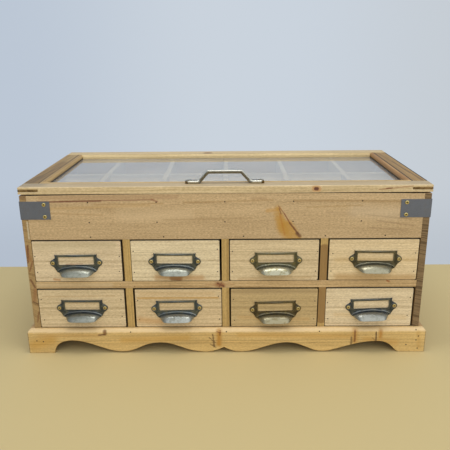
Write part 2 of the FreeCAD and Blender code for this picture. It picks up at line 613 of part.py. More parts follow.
# ---------------------------------------------------------------- panel pins
def panel_pins():
    z_tray = Z_TRAY_FLOOR + TRAY_FLOOR_T * FLOOR_PIN_SHARE
    tray_h = Z_CASE - Z_TRAY
    pins = [pin_at(x, Y_FRONT, Z_TRAY + tray_h * share)
            for x in TRAY_X for share in DIVIDER_PIN_SHARES]
    pins += [pin_at(spot * INNER_W / 2, Y_FRONT, z_tray) for spot in FLOOR_PIN_SPOTS]
    pins += [plinth_pin(spot * INNER_W / 2, PLINTH_H * BASE_PIN_SHARE) for spot in BASE_PIN_SPOTS]
    pins += [plinth_pin(inset - CASE_W / 2, PLINTH_H * share)
             for inset, share in zip(LEFT_PIN_INSETS, LEFT_PIN_SHARES)]
    pins += [plinth_pin(CASE_W / 2 - inset, PLINTH_H * share)
             for inset, share in zip(RIGHT_PIN_INSETS, RIGHT_PIN_SHARES)]
    node("panel_pins", *pins)
    return pins


def build():
    pins = panel_pins()
    bracket_screws = corner_brackets()
    body_screws, lid_screws = hinges()
    node("case_screws", *(bracket_screws + body_screws))
    case_boards(bracket_screws, body_screws, pins)
    tray_dividers(pins)
    plinth(pins)
    lid(lid_screws, lid_handle())
    pull_form = cup_pull()
    for i in range(2 * COLUMNS):
        upper = i < COLUMNS
        drawer(i + 1, i % COLUMNS, Z_UP if upper else Z_LOW,
               UP_OPENING_H if upper else LOW_OPENING_H,
               UP_PULL_DROP if upper else LOW_PULL_DROP, pull_form)
    os.makedirs("parts", exist_ok=True)
    for name, shape in NODES.items():
        shape.exportStep(f"parts/{name}.step")
    print(len(NODES), "nodes,", sum(len(s.Solids) for s in NODES.values()), "solids")


build()
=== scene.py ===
"""Looks of the table-top haberdashery cabinet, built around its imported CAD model.

Lengths are in metres, and MM turns millimetres into them. The frame is the CAD model's:
+Z up, the drawers face -Y, the origin on the floor below the middle of the cabinet.
"""
import json
import math
import random

import bmesh
import bpy
from mathutils import Matrix, Vector
from mathutils.geometry import delaunay_2d_cdt


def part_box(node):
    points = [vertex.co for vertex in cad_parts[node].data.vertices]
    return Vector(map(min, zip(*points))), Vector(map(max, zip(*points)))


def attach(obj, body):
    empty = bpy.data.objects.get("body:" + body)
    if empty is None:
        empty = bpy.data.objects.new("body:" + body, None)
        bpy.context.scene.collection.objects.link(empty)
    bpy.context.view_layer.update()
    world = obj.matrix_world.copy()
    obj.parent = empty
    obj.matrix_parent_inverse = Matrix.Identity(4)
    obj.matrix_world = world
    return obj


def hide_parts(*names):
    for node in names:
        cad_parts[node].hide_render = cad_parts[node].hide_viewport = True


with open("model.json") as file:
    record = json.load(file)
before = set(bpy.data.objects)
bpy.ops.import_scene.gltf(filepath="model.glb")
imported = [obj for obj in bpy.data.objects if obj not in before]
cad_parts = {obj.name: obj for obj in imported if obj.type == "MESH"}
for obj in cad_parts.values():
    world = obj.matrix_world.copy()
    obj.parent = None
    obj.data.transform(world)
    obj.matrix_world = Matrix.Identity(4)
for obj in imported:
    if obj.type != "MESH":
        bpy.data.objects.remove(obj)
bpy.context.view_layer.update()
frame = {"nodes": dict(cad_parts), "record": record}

MM = 0.001
NODES = frame["nodes"]
BODY = {n: body for body, ns in frame["record"]["behaviour"]["bodies"].items() for n in ns}
DRAWERS = range(1, 9)
SCENE = bpy.context.scene

# Faces of the cabinet, read from the frame
FRONT_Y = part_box("front_panel")[0].y
PLINTH_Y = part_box("plinth_front")[0].y
LID_TOP_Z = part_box("lid_front_rail")[1].z
LID_FRONT_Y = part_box("lid_front_rail")[0].y
GLASS_TOP_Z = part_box("lid_glass")[1].z


def srgb(red, green, blue):
    """Linear colour from 0-255 values."""
    def linear(c):
        c /= 255
        return c / 12.92 if c <= 0.04045 else ((c + 0.055) / 1.055) ** 2.4
    return (linear(red), linear(green), linear(blue), 1.0)


def smoothstep(low, high, x):
    t = min(1.0, max(0.0, (x - low) / (high - low)))
    return t * t * (3 - 2 * t)


# ------------------------------------------------------------------ shader graphs
class Graph:
    """Short-hand for building one node tree."""

    def __init__(self, tree):
        self.tree = tree
        tree.nodes.clear()

    def fill(self, node, inputs):
        """Values or links for a node's inputs, by socket name or number."""
        for key, value in dict(inputs).items():
            if isinstance(value, bpy.types.NodeSocket):
                self.tree.links.new(value, node.inputs[key])
            else:
                node.inputs[key].default_value = value
        return node

    def node(self, kind, inputs=(), **settings):
        made = self.tree.nodes.new(kind)
        for key, value in settings.items():
            setattr(made, key, value)
        return self.fill(made, inputs)

    def math(self, operation, a, b=0.0, c=0.0, clamp=False):
        return self.node("ShaderNodeMath", {0: a, 1: b, 2: c}, operation=operation,
                         use_clamp=clamp).outputs[0]

    def times(self, a, b, plus=0.0, clamp=False):
        """a * b + plus"""
        return self.math("MULTIPLY_ADD", a, b, plus, clamp)

    def vector(self, operation, a, b=(0, 0, 0), scale=1.0):
        made = self.node("ShaderNodeVectorMath", {0: a, 1: b, 3: scale}, operation=operation)
        return made.outputs["Value" if operation in ("DOT_PRODUCT", "LENGTH") else "Vector"]

    def ramp(self, value, low, high, start=0.0, end=1.0, kind="LINEAR"):
        """start up to low, end from high on, and a run between them."""
        return self.node("ShaderNodeMapRange", {0: value, 1: low, 2: high, 3: start, 4: end},
                         interpolation_type=kind).outputs[0]

    def smooth(self, value, low, high, start=0.0, end=1.0):
        return self.ramp(value, low, high, start, end, "SMOOTHSTEP")

    def mix(self, factor, a, b):
        return self.node("ShaderNodeMix", {0: factor, 6: a, 7: b}, data_type="RGBA").outputs[2]

    def noise(self, place, sizes, detail=2.0, roughness=0.5):
        """Noise whose lumps are about this many units of place along each axis."""
        place = self.vector("MULTIPLY", place, [1 / s for s in sizes])
        return self.node("ShaderNodeTexNoise", {"Vector": place, "Scale": 1.0, "Detail": detail,
                                                "Roughness": roughness}).outputs[0]

    def bump(self, height, strength, distance):
        return self.node("ShaderNodeBump", {"Height": height, "Strength": strength,
                                            "Distance": distance}).outputs[0]

    def either(self, factor, first, second):
        """The first shader where factor is 0, the second where it is 1."""
        return self.node("ShaderNodeMixShader", {0: factor, 1: first.outputs[0],
                                                 2: second.outputs[0]}).outputs[0]


def new_group(name, inputs, outputs):
    """Empty node group; inputs and outputs are {socket type: names}. Returns its graph, the
    sockets that it reads and its output node."""
    group = bpy.data.node_groups.new(name, "ShaderNodeTree")
    for way, sockets in (("INPUT", inputs), ("OUTPUT", outputs)):
        for kind, labels in sockets.items():
            for label in labels.split():
                group.interface.new_socket(label, in_out=way, socket_type="NodeSocket" + kind)
    graph = Graph(group)
    return graph, graph.node("NodeGroupInput").outputs, graph.node("NodeGroupOutput")


def new_material(name):
    """Material with an empty graph: its graph, its Principled shader and its output node."""
    material = bpy.data.materials.new(name)
    material.use_nodes = True
    graph = Graph(material.node_tree)
    shader = graph.node("ShaderNodeBsdfPrincipled")
    output = graph.node("ShaderNodeOutputMaterial", {"Surface": shader.outputs[0]})
    return material, graph, shader, output


# ------------------------------------------------------------------ pine
def make_grain_group():
    """Growth rings round the log's axis, which is the local x axis; places are in millimetres."""
    g, i, output = new_group("grain", {"Vector": "Place", "Color": "Light Dark",
                                       "Float": "Spacing Rings Fibre Patches Speckle Bend"},
                             {"Color": "Color", "Float": "Height"})
    place = i["Place"]
    wander = g.noise(place, (240, 45, 45), detail=1.0)
    ripple = g.noise(place, (50, 8, 8))
    across = g.vector("MULTIPLY", place, (0, 1, 1))
    radius = g.math("ADD", g.vector("LENGTH", across), i["Bend"])
    radius = g.times(wander, 7.0, radius)
    radius = g.times(ripple, 0.8, radius)

    # Years of growth, unevenly wide; each has a dark late band of its own strength.
    years = g.math("DIVIDE", radius, i["Spacing"])
    uneven = g.node("ShaderNodeTexNoise", {"W": years, "Scale": 0.45, "Detail": 1.0},
                    noise_dimensions="1D").outputs[0]
    years = g.times(uneven, 3.5, years)
    ring = g.math("FRACT", years)
    year = g.node("ShaderNodeTexWhiteNoise", {"W": g.math("FLOOR", years)},
                  noise_dimensions="1D").outputs[0]
    late = g.times(g.smooth(ring, 0.2, 0.85), g.smooth(ring, 0.9, 1.0, 1.0, 0.0))
    late = g.times(late, g.ramp(year, 0.0, 1.0, 0.15, 1.0))

    fibre = g.noise(place, (75, 1.5, 1.5), detail=3.0, roughness=0.65)
    speckle = g.noise(place, (3.6, 1.7, 1.7), roughness=0.65)
    dashes = g.smooth(g.noise(place, (7, 0.6, 0.6), detail=1.0), 0.62, 0.74)
    tone = g.noise(place, (130, 13, 13))
    blend = g.times(late, i["Rings"], 0.5)
    blend = g.times(i["Rings"], -0.25, blend)
    for pattern, strength in ((fibre, "Fibre"), (speckle, "Speckle"), (tone, "Patches")):
        blend = g.times(g.math("SUBTRACT", pattern, 0.5), i[strength], blend)
    blend = g.times(dashes, g.times(i["Fibre"], 0.22), blend, clamp=True)
    height = g.times(fibre, 0.6, g.times(late, 0.4))
    height = g.times(dashes, -0.4, g.times(speckle, 0.25, height))
    g.fill(output, {"Color": g.mix(blend, i["Light"], i["Dark"]), "Height": height})
    return g.tree


def make_mark_group():
    """1 on a straight mark between two points and 0 away from it, with a ragged edge."""
    g, i, output = new_group("mark", {"Vector": "Place From To",
                                      "Float": "Radius Soft Ragged"}, {"Float": "Mark"})
    away = g.vector("SUBTRACT", i["Place"], i["From"])
    run = g.vector("SUBTRACT", i["To"], i["From"])
    length = g.math("MAXIMUM", g.vector("DOT_PRODUCT", run, run), 0.01)
    share = g.math("DIVIDE", g.vector("DOT_PRODUCT", away, run), length, clamp=True)
    near = g.vector("SCALE", run, scale=share)
    distance = g.vector("LENGTH", g.vector("SUBTRACT", away, near))
    rough = g.noise(i["Place"], (6, 2.2, 2.2))
    distance = g.times(g.math("SUBTRACT", rough, 0.5), i["Ragged"], distance)
    inner = g.times(i["Radius"], g.math("SUBTRACT", 1.0, i["Soft"]))
    g.fill(output, {"Mark": g.smooth(distance, inner, i["Radius"], 1.0, 0.0)})
    return g.tree


GRAIN = make_grain_group()
MARK = make_mark_group()
# Turns each grain direction onto the local x axis.
GRAIN_TURN = {"X": Matrix.Identity(3), "Y": Matrix.Rotation(-math.pi / 2, 3, "Z"),
              "Z": Matrix.Rotation(math.pi / 2, 3, "Y")}
LIGHTER, DARKER = 0.17, (0.17, 0.21, 0.28)  # shares of a tone between which the grain runs
LOG_STEP = 97.0     # millimetres along the log from one board to the next
BEND_REACH = 3.2    # radii of a mark within which the rings bend round it
GAP_SHADE_FADE = 14.0     # millimetres over which the painted gap shade behind the front fades out


def mark(start, end, radius, colour, strength=0.7, soft=0.8, ragged=1.0, bend=0.0):
    """A knot, crack, streak or stain, or a painted highlight or shade; its two ends are in
    millimetres in the frame.
    """
    return dict(start=start, end=end, radius=radius, colour=colour, strength=strength,
                soft=soft, ragged=ragged, bend=bend)


def marks(face, *rows):
    """Marks on a face. A row gives two places on it, and then what mark() takes."""
    return [mark(face(*row[:2]), face(*row[2:4]), *row[4:]) for row in rows]


def dots(places, *look):
    """Rows for round marks of one look."""
    return [(*place, *place, *look) for place in places]


def on_front(x, z):
    return (x, FRONT_Y / MM, z)


def on_plinth(x, z):
    return (x, PLINTH_Y / MM, z)


def in_plinth(x, z):
    """Behind its front, where a wide mark shows on the top edge too."""
    return (x, PLINTH_Y / MM + 3.0, z)


def on_lid(x, y):
    return (x, y, LID_TOP_Z / MM)


def beside_glass(x, y):
    return (x, y, GLASS_TOP_Z / MM + 0.8)


def pine(name, middle, tone, grain="X", heart=(60, -150), spacing=3.4, rings=0.34, end_rings=0.35,
         fibre=0.75, patches=0.5, speckle=0.9, spread=1.0, end_tone=0.62, spots=(), gloss=0.5,
         gap_shade_depth=None, gap_shade=0.82, seed=0):
    """Waxed pine of an average tone, for a board whose middle is at middle, in millimetres.

    heart is the way from there to the log's axis, across the grain, and spacing the width of a
    year. rings, fibre, patches and speckle are the strengths of the patterns, and end_rings is
    added to rings on end grain. spread is the contrast of the whole and end_tone the shade of
    end grain. spots are its marks. Up to grime millimetres behind the front, the faces that
    don't face it are darkened by dirt: painted shade for the shadow in the gaps between parts.
    """
    material, g, shader, _ = new_material(name)
    turn = GRAIN_TURN[grain]
    origin = turn @ Vector(middle) + Vector((seed * LOG_STEP, *heart))
    coordinates = g.node("ShaderNodeTexCoord").outputs
    place = g.node("ShaderNodeMapping", {
        "Vector": coordinates["Object"], "Location": -origin, "Rotation": turn.to_euler(),
        "Scale": (1 / MM, 1 / MM, 1 / MM)}).outputs[0]

    bend, tinted_marks = 0.0, []
    for spot in spots:
        start, end = (turn @ Vector(spot[key]) - origin for key in ("start", "end"))
        shape = {"Place": place, "From": start, "To": end, "Radius": spot["radius"],
                 "Soft": spot["soft"], "Ragged": spot["ragged"]}
        stain = g.node("ShaderNodeGroup", shape, node_tree=MARK).outputs[0]
        tinted_marks.append((g.times(stain, spot["strength"]), srgb(*spot["colour"])))
        if spot["bend"]:
            shape.update(Radius=spot["radius"] * BEND_REACH, Soft=1.0, Ragged=0.0)
            wide = g.node("ShaderNodeGroup", shape, node_tree=MARK).outputs[0]
            bend = g.times(wide, spot["bend"], bend)

    def facing(axis):
        """How far a face looks along an axis, either way."""
        return g.math("ABSOLUTE", g.vector("DOT_PRODUCT", coordinates["Normal"],
                                           [float(letter == axis) for letter in "XYZ"]))

    end_grain = g.smooth(facing(grain), 0.55, 0.85)
    light = [c * (1 + LIGHTER * spread) for c in tone]
    dark = [c * (1 - share * spread) for c, share in zip(tone, DARKER)]
    wood = g.node("ShaderNodeGroup", {
        "Place": place, "Spacing": spacing, "Fibre": fibre, "Patches": patches,
        "Speckle": speckle, "Rings": g.times(end_grain, end_rings, rings),
        "Bend": bend, "Light": srgb(*light), "Dark": srgb(*dark)}, node_tree=GRAIN).outputs
    colour, height = wood["Color"], wood["Height"]
    for strength, stain in tinted_marks:
        colour = g.mix(strength, colour, stain)
    tint = g.times(end_grain, end_tone - 1.0, 1.0)
    # Painted shade: faces close behind the front that don't face it are darkened, standing in for
    # the shadow in the gaps round the drawers and between the boards.
    if gap_shade_depth:
        behind = g.node("ShaderNodeSeparateXYZ", {0: coordinates["Object"]}).outputs[1]
        behind = g.times(behind, 1 / MM, -FRONT_Y / MM)
        gap_shade_mask = g.times(g.smooth(facing("Y"), 0.25, 0.7, 1.0, 0.0),
                      g.smooth(behind, gap_shade_depth, gap_shade_depth + GAP_SHADE_FADE, 1.0, 0.0))
        tint = g.times(tint, g.times(gap_shade_mask, -gap_shade, 1.0))
    g.fill(shader, {"Base Color": g.vector("SCALE", colour, scale=tint),
                    "Specular IOR Level": gloss, "Roughness": g.ramp(height, 0.0, 1.0, 0.58, 0.44),
                    "Normal": g.bump(height, 0.3, 0.2 * MM)})
    return material


# ------------------------------------------------------------------ mesh helpers
WELD = 0.001 * MM
SHORTEST_EDGE = 0.6 * MM  # shorter ones belong to the rims of screw and pin holes
CRISP_NEAR = 0.05 * MM    # from the plane whose edges stay crisp


def new_object(name, data):
    made = bpy.data.objects.new(name, data)
    SCENE.collection.objects.link(made)
    return made


def piece(name, bm, material, node, smooth_angle=35, flat=False):
    """Object from a bmesh that stands for a CAD node and rides on its body. It is smooth-shaded
    up to an angle; flat keeps its large faces flat where they meet a rounded edge."""
    mesh = bpy.data.meshes.new(name)
    bm.to_mesh(mesh)
    bm.free()
    mesh.polygons.foreach_set("use_smooth", [True] * len(mesh.polygons))
    mesh.set_sharp_from_angle(angle=math.radians(smooth_angle))
    mesh.materials.append(material)
    obj = new_object(name, mesh)
    if flat:
        obj.modifiers.new("weighted", "WEIGHTED_NORMAL").keep_sharp = True
    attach(obj, BODY[node])
    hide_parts(node)


def paint(node, material):
    """A new material for a CAD node that is shown as it is."""
    for slot in NODES[node].material_slots:
        slot.material = material


def middle_of(node):
    """The middle of a CAD node's box, in millimetres."""
    low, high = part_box(node)
    return (low + high) / 2 / MM


def on_foot_of(node):
    """Matrix from the origin to the middle of the underside of a CAD node's box."""
    low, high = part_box(node)
    return Matrix.Translation(((low.x + high.x) / 2, (low.y + high.y) / 2, low.z))


def welded(node):
    """A bmesh of the CAD node's own shape."""
    bm = bmesh.new()
    bm.from_mesh(NODES[node].data)
    bmesh.ops.remove_doubles(bm, verts=bm.verts, dist=WELD)
    return bm


def board_mesh(node):
    """The same with its flat faces whole."""
    bm = welded(node)
    bmesh.ops.dissolve_limit(bm, angle_limit=0.002, verts=bm.verts, edges=bm.edges)
    return bm


def outer_edges(bm):
    return [e for e in bm.edges if len(e.link_faces) == 2 and e.is_convex
            and e.calc_face_angle(0) > math.radians(40) and e.calc_length() > SHORTEST_EDGE]


def bevel(bm, edges, offset, segments=3, clamp=False):
    bmesh.ops.bevel(bm, geom=[e for e in edges if e.is_valid], offset=offset, segments=segments,
                    profile=0.5, affect="EDGES", clamp_overlap=clamp)


def add_skin(bm, rows, rings=False, capped=False):
    """Faces from each row of vertices to the next, all the way round if the rows are rings, and
    one over each end if it is capped."""
    for a, b in zip(rows, rows[1:]):
        for k in range(len(a) if rings else len(a) - 1):
            after = (k + 1) % len(a)
            bm.faces.new((a[k], b[k], b[after], a[after]))
    if capped:
        bm.faces.new(rows[0])
        bm.faces.new(rows[-1][::-1])


def metal_mesh():
    """Empty bmesh whose vertices have a zone, as metal() reads it."""
    bm = bmesh.new()
    bm.verts.layers.float.new("zone")
    return bm


def add_vert(bm, place, zone):
    vert = bm.verts.new(place)
    vert[bm.verts.layers.float["zone"]] = zone
    return vert


def put(bm, place):
    """Turns the faces of a mesh in millimetres outward and puts it in its place."""
    bmesh.ops.recalc_face_normals(bm, faces=bm.faces)
    bm.transform(place @ Matrix.Scale(MM, 4))


def arc(hub, radius, start, end, steps):
    """Places on a circle from one angle to another, in degrees."""
    angles = [math.radians(start + (end - start) * k / steps) for k in range(steps + 1)]
    return [(hub[0] + radius * math.cos(a), hub[1] + radius * math.sin(a)) for a in angles]


def board(node, ease, material, crisp_foot=False):
    """The CAD node with its sharp outer edges rounded over by ease millimetres, or all of them
    but the lowest."""
    bm = board_mesh(node)
    edges = outer_edges(bm)
    if crisp_foot:
        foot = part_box(node)[0].z + CRISP_NEAR
        edges = [e for e in edges if any(v.co.z > foot for v in e.verts)]
    bevel(bm, edges, ease * MM)
    piece(node + "_wood", bm, material, node, flat=True)


def drawer_front(number, material):
    """The CAD front with its corners rounded, the lower ones more, and its edges eased, the top
    ones least."""
    node = f"drawer_{number}_front"
    low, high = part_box(node)
    bm = board_mesh(node)
    for corner_z, radius, steps in ((low.z, 2.6, 4), (high.z, 1.2, 2)):
        corners = []
        for e in bm.edges:
            a, b = (v.co for v in e.verts)
            if (abs(a.y - b.y) > 5 * MM and abs(a.x - b.x) < MM and abs(a.z - b.z) < MM
                    and min(abs(a.x - low.x), abs(a.x - high.x)) < 0.1 * MM
                    and abs(a.z - corner_z) < 0.1 * MM):
                corners.append(e)
        bevel(bm, corners, radius * MM, steps)
    edges = outer_edges(bm)
    top = [e for e in edges if all(abs(v.co.z - high.z) < CRISP_NEAR for v in e.verts)]
    bevel(bm, set(edges) - set(top), 0.8 * MM)
    bevel(bm, top, 0.3 * MM)
    piece(node + "_wood", bm, material, node, flat=True)


def add_box(bm, low, high, ease):
    """A rounded box in an open bmesh."""
    size, middle = Vector(high) - Vector(low), (Vector(high) + Vector(low)) / 2
    made = bmesh.ops.create_cube(bm, size=1.0, matrix=Matrix.Translation(middle)
                                 @ Matrix.Diagonal((*size, 1.0)))
    edges = {e for v in made["verts"] for e in v.link_edges}
    bevel(bm, edges, min(ease, min(size) * 0.4), 2)


def levels(node, axis):
    """The different places along an axis at which the CAD node has corners."""
    return sorted({round(v.co[axis], 5) for v in NODES[node].data.vertices})


def drawer_box(number):
    """Floor, two sides and back between them, as the CAD node has them."""
    node = f"drawer_{number}_box"
    x0, x1, x2, x3 = levels(node, 0)
    y0, y1, y2 = levels(node, 1)
    z0, z1, z2 = levels(node, 2)
    bm = bmesh.new()
    for low, high in (((x0, y0, z0), (x3, y2, z1)), ((x0, y0, z1), (x1, y2, z2)),
                      ((x2, y0, z1), (x3, y2, z2)), ((x1, y1, z1), (x2, y2, z2))):
        add_box(bm, low, high, 0.5 * MM)
    wood = pine(node + "_pine", middle_of(node), (196, 170, 124), grain="Y", seed=40 + number)
    piece(node + "_wood", bm, wood, node, flat=True)


# ------------------------------------------------------------------ metals and glass
def metal(name, plain, worn, mottled, roughness=0.35, metallic=1.0, seed=0, mottling=0.5,
          size=6.0, tarnish=None):
    """Metal whose vertices' zone runs from 0, plain, to 1, worn, which on the lid handle's bar is
    a painted highlight instead; below 0 it turns to the tarnish.
    mottled is the colour of its patina, and size the patina's patches in millimetres."""
    material, g, shader, _ = new_material(name)
    place = g.node("ShaderNodeTexCoord").outputs["Object"]
    place = g.vector("ADD", g.vector("SCALE", place, scale=1 / MM), (seed * 31.0, seed * 17.0, 0))
    zone = g.node("ShaderNodeAttribute", attribute_name="zone").outputs["Fac"]
    patches = g.noise(place, (size, size, size), detail=3.0, roughness=0.6)
    specks = g.noise(place, (0.9, 0.9, 0.9))
    wear = g.times(g.math("SUBTRACT", patches, 0.5), 0.5, zone, clamp=True)
    colour = g.mix(wear, srgb(*plain), srgb(*worn))
    if tarnish:
        colour = g.mix(g.times(zone, -1.0, clamp=True), colour, srgb(*tarnish))
    stain = g.times(g.smooth(patches, 0.48, 0.68), mottling)
    colour = g.mix(stain, colour, srgb(*mottled))
    pits = g.times(g.smooth(specks, 0.6, 0.75), 0.22)
    g.fill(shader, {"Base Color": g.mix(pits, colour, srgb(40, 37, 32)), "Metallic": metallic,
                    "Roughness": g.times(pits, 0.4, g.times(patches, 0.3, roughness - 0.15)),
                    "Normal": g.bump(g.times(specks, 0.1, patches), 0.07, 0.1 * MM)})
    return material


def make_glass():
    """Flat glass with a faint bloom; lamps shine through it."""
    material, g, shader, output = new_material("lid_glass")
    place = g.vector("SCALE", g.node("ShaderNodeTexCoord").outputs["Object"], scale=1 / MM)
    bloom = g.noise(place, (90, 60, 60), detail=3.0)
    g.fill(shader, {"Base Color": srgb(230, 230, 226), "IOR": 1.52,
                    "Transmission Weight": g.ramp(bloom, 0.3, 0.7, 0.9, 0.85),
                    "Roughness": g.ramp(bloom, 0.3, 0.7, 0.0, 0.004)})
    lamp = g.node("ShaderNodeLightPath").outputs["Is Shadow Ray"]
    clear = g.node("ShaderNodeBsdfTransparent", {"Color": srgb(235, 240, 242)})
    g.fill(output, {"Surface": g.either(lamp, shader, clear)})
    return material


# ------------------------------------------------------------------ screws and pins
# In shares of a screw head's radius
CROSS_HALF_W = (0.1, 0.2)    # from full depth to none, across an arm of its recess
CROSS_HALF_L = (0.45, 0.6)   # and along it
CROSS_DEPTH = 0.28
HEAD_RINGS = (0.12, 0.25, 0.38, 0.5, 0.6, 0.7, 0.8, 0.88, 0.95, 1.0)
HEAD_STEPS = 40


def islands(node):
    """Corners of each separate solid in a CAD node, in the node's own order."""
    bm = welded(node)
    seen, found = set(), []
    for first in bm.verts:
        if first in seen:
            continue
        seen.add(first)
        todo, island = [first], []
        while todo:
            v = todo.pop()
            island.append(v.co.copy())
            fresh = [other for other in (e.other_vert(v) for e in v.link_edges)
                     if other not in seen]
            seen.update(fresh)
            todo += fresh
        found.append(island)
    bm.free()
    return found


def screws_in(node):
    """(middle of the head's outer end, its axis pointing out, head radius) of each screw."""
    places = []
    for island in islands(node):
        low = Vector([min(c[k] for c in island) for k in range(3)])
        high = Vector([max(c[k] for c in island) for k in range(3)])
        size = high - low
        axis = max(range(3), key=lambda k: size[k])
        middle = (low + high) / 2
        widths = []
        for end in (low, high):
            near = [c for c in island if abs(c[axis] - end[axis]) < size[axis] * 0.2]
            widths.append(max((c - middle).length_squared - (c[axis] - middle[axis]) ** 2
                              for c in near))
        out = Vector((0, 0, 0))
        out[axis] = 1 if widths[1] > widths[0] else -1
        middle[axis] = (high if out[axis] > 0 else low)[axis]
        places.append((middle, out, math.sqrt(max(widths))))
    return places


def cross_recess(x, y):
    """1 in the head's cross recess and 0 outside it."""
    def arm(across, along):
        return ((1 - smoothstep(*CROSS_HALF_W, abs(across)))
                * (1 - smoothstep(*CROSS_HALF_L, abs(along))))
    return max(arm(x, y), arm(y, x))


def add_screw(bm, tip, out, radius, height, turn, domed):
    """Head with a cross recess: tip is the middle of its outer end, height how deep it goes."""
    side = out.cross(Vector((0, 0, 1)) if abs(out.z) < 0.5 else Vector((1, 0, 0))).normalized()
    up = side.cross(out)
    rings = []
    for share in HEAD_RINGS:
        ring = []
        for k in range(HEAD_STEPS):
            angle = 2 * math.pi * k / HEAD_STEPS
            recess = cross_recess(share * math.cos(angle), share * math.sin(angle))
            drop = domed * height * share ** 3 + recess * CROSS_DEPTH * radius
            spoke = side * math.cos(turn + angle) + up * math.sin(turn + angle)
            ring.append(add_vert(bm, tip + radius * share * spoke - out * drop, 1.0 - recess))
        rings.append(ring)
    centre = bm.verts.new(tip - out * CROSS_DEPTH * radius)
    foot = []
    for vert in rings[-1]:
        away = vert.co - tip
        foot.append(add_vert(bm, tip + away - out * away.dot(out) - out * height, 0.3))
    for a, b in zip(rings[0], rings[0][1:] + rings[0][:1]):
        bm.faces.new((centre, a, b))
    add_skin(bm, rings + [foot], rings=True)


def screws_for(node, material, heights, seed, domed=0.35):
    """Detailed heads in place of a CAD node's screws; heights is {rounded radius mm: height mm}."""
    chance = random.Random(seed)
    bm = metal_mesh()
    for tip, out, radius in screws_in(node):
        height = heights[min(heights, key=lambda r: abs(r - radius / MM))] * MM
        add_screw(bm, tip, out, radius, height, chance.uniform(0, math.pi / 2), domed)
    piece(node + "_heads", bm, material, node)


# ------------------------------------------------------------------ cup pulls
# Millimetres on the front of the drawer: u to the right, v up from the top of the card frame
FRAME_HALF, FRAME_TOP = 31.5, 0.75
POST_W = 4.8
WINDOW_HEAD, WINDOW_FOOT, WINDOW_CORNER = -2.35, -15.2, 1.1
EAR = (35.0, -11.6)  # middle of the right screw
# Right half of the plate's outline, from the top of the frame to the foot of the cup
RIGHT_EDGE = [(29.0, 0.75), (30.5, 0.75), (31.3, 1.35), (31.8, 1.25), (31.5, -0.45), (31.5, -3.6),
              (32.4, -4.6), (33.6, -5.5), (35.3, -6.6), (37.2, -7.7), (38.7, -9.4), (39.5, -11.6),
              (39.0, -13.8), (37.6, -15.8), (35.6, -17.2), (33.8, -18.8), (32.5, -20.9),
              (31.4, -23.2), (29.6, -25.6), (27.6, -27.3)]
CUP_HALF, CUP_OUT, CUP_WALL = 27.5, 15.2, 1.1
CUP_TOP, CUP_FOOT, LIP_FOOT = -19.8, -27.2, -29.9  # the cup's foot on the plate, and its lip
CUP_H = CUP_TOP - CUP_FOOT
CUP_TURN = math.radians(70)  # of the arc from the plate to the lip
CUP_CORNER = 0.27            # share of the half width in which the lip curves back
CUP_STEPS = (60, 18)         # of its mesh: across, and from the plate to the lip
LIP_ROUND = 0.35

# Relief of the plate: a ridge and a groove round the cup, and a ridge round each screw, each
# with its distance from there, its half width and its height
PLATE = 1.2
RING_AT, RING_HALF, RING_H = 2.0, 1.1, 1.15
GROOVE_AT, GROOVE_HALF, GROOVE_DEPTH = 0.6, 0.8, 0.45
EYE_AT, EYE_HALF, EYE_H = 3.7, 0.9, 0.35
EYE_WORN_AT, EYE_WORN_HALF = 3.6, 1.1
FRAME_H = 1.0
STEP_W, STEP_H = 1.4, 0.25   # lower inner step of a post
FRAME_END = 1.2              # how far the posts run on below the window
WEAR = {"ring": 0.62, "post": 0.34, "bar": 0.5, "eye": 0.4}
# Lines of the mesh along the relief
RING_LINES = (0.3, 0.8, 1.2, 1.5, 1.8, 2.1, 2.4, 2.8, 3.2, 3.8)
POST_LINES, POST_STOPS = (0.5, 1.2, 2.9, 3.15, 3.4), (0.9, -8.0, WINDOW_FOOT - 1.3)
BAR_LINES, BAR_LINE_HALF = (0.1, 0.25, 0.5, 0.75, 0.9), 28.5  # shares of the bar's height
END_LINES, END_LINE_HALF = (0.5, 0.85, 1.2), 31.0
EYE_LINES = (2.9, 3.3, 3.7, 4.1, 4.5)


def window_outline():
    reach = FRAME_HALF - POST_W - WINDOW_CORNER
    top, low = WINDOW_HEAD - WINDOW_CORNER, WINDOW_FOOT + WINDOW_CORNER
    points = []
    for hub, start in (((reach, top), 90), ((reach, low), 0), ((-reach, low), -90),
                       ((-reach, top), -180)):
        points += arc(hub, WINDOW_CORNER, start, start - 90, 3)
    return points


def cup_arc(gap, steps=48):
    """Half ellipse this far outside the foot of the cup."""
    angles = [math.pi * k / steps for k in range(steps + 1)]
    return [((CUP_HALF + gap) * math.cos(a), CUP_FOOT + (CUP_H + gap) * math.sin(a))
            for a in angles]


def cup_gap(u, v):
    """How far a place on the plate is outside the foot of the cup."""
    v -= CUP_FOOT
    reach = math.hypot(u / CUP_HALF, v / CUP_H)
    if reach < 0.01:
        return -CUP_H
    return (reach - 1) * reach / math.hypot(u / CUP_HALF ** 2, v / CUP_H ** 2)


def ridge(x, middle, half):
    t = (x - middle) / half
    return (1 - t * t) ** 2 if abs(t) < 1 else 0.0


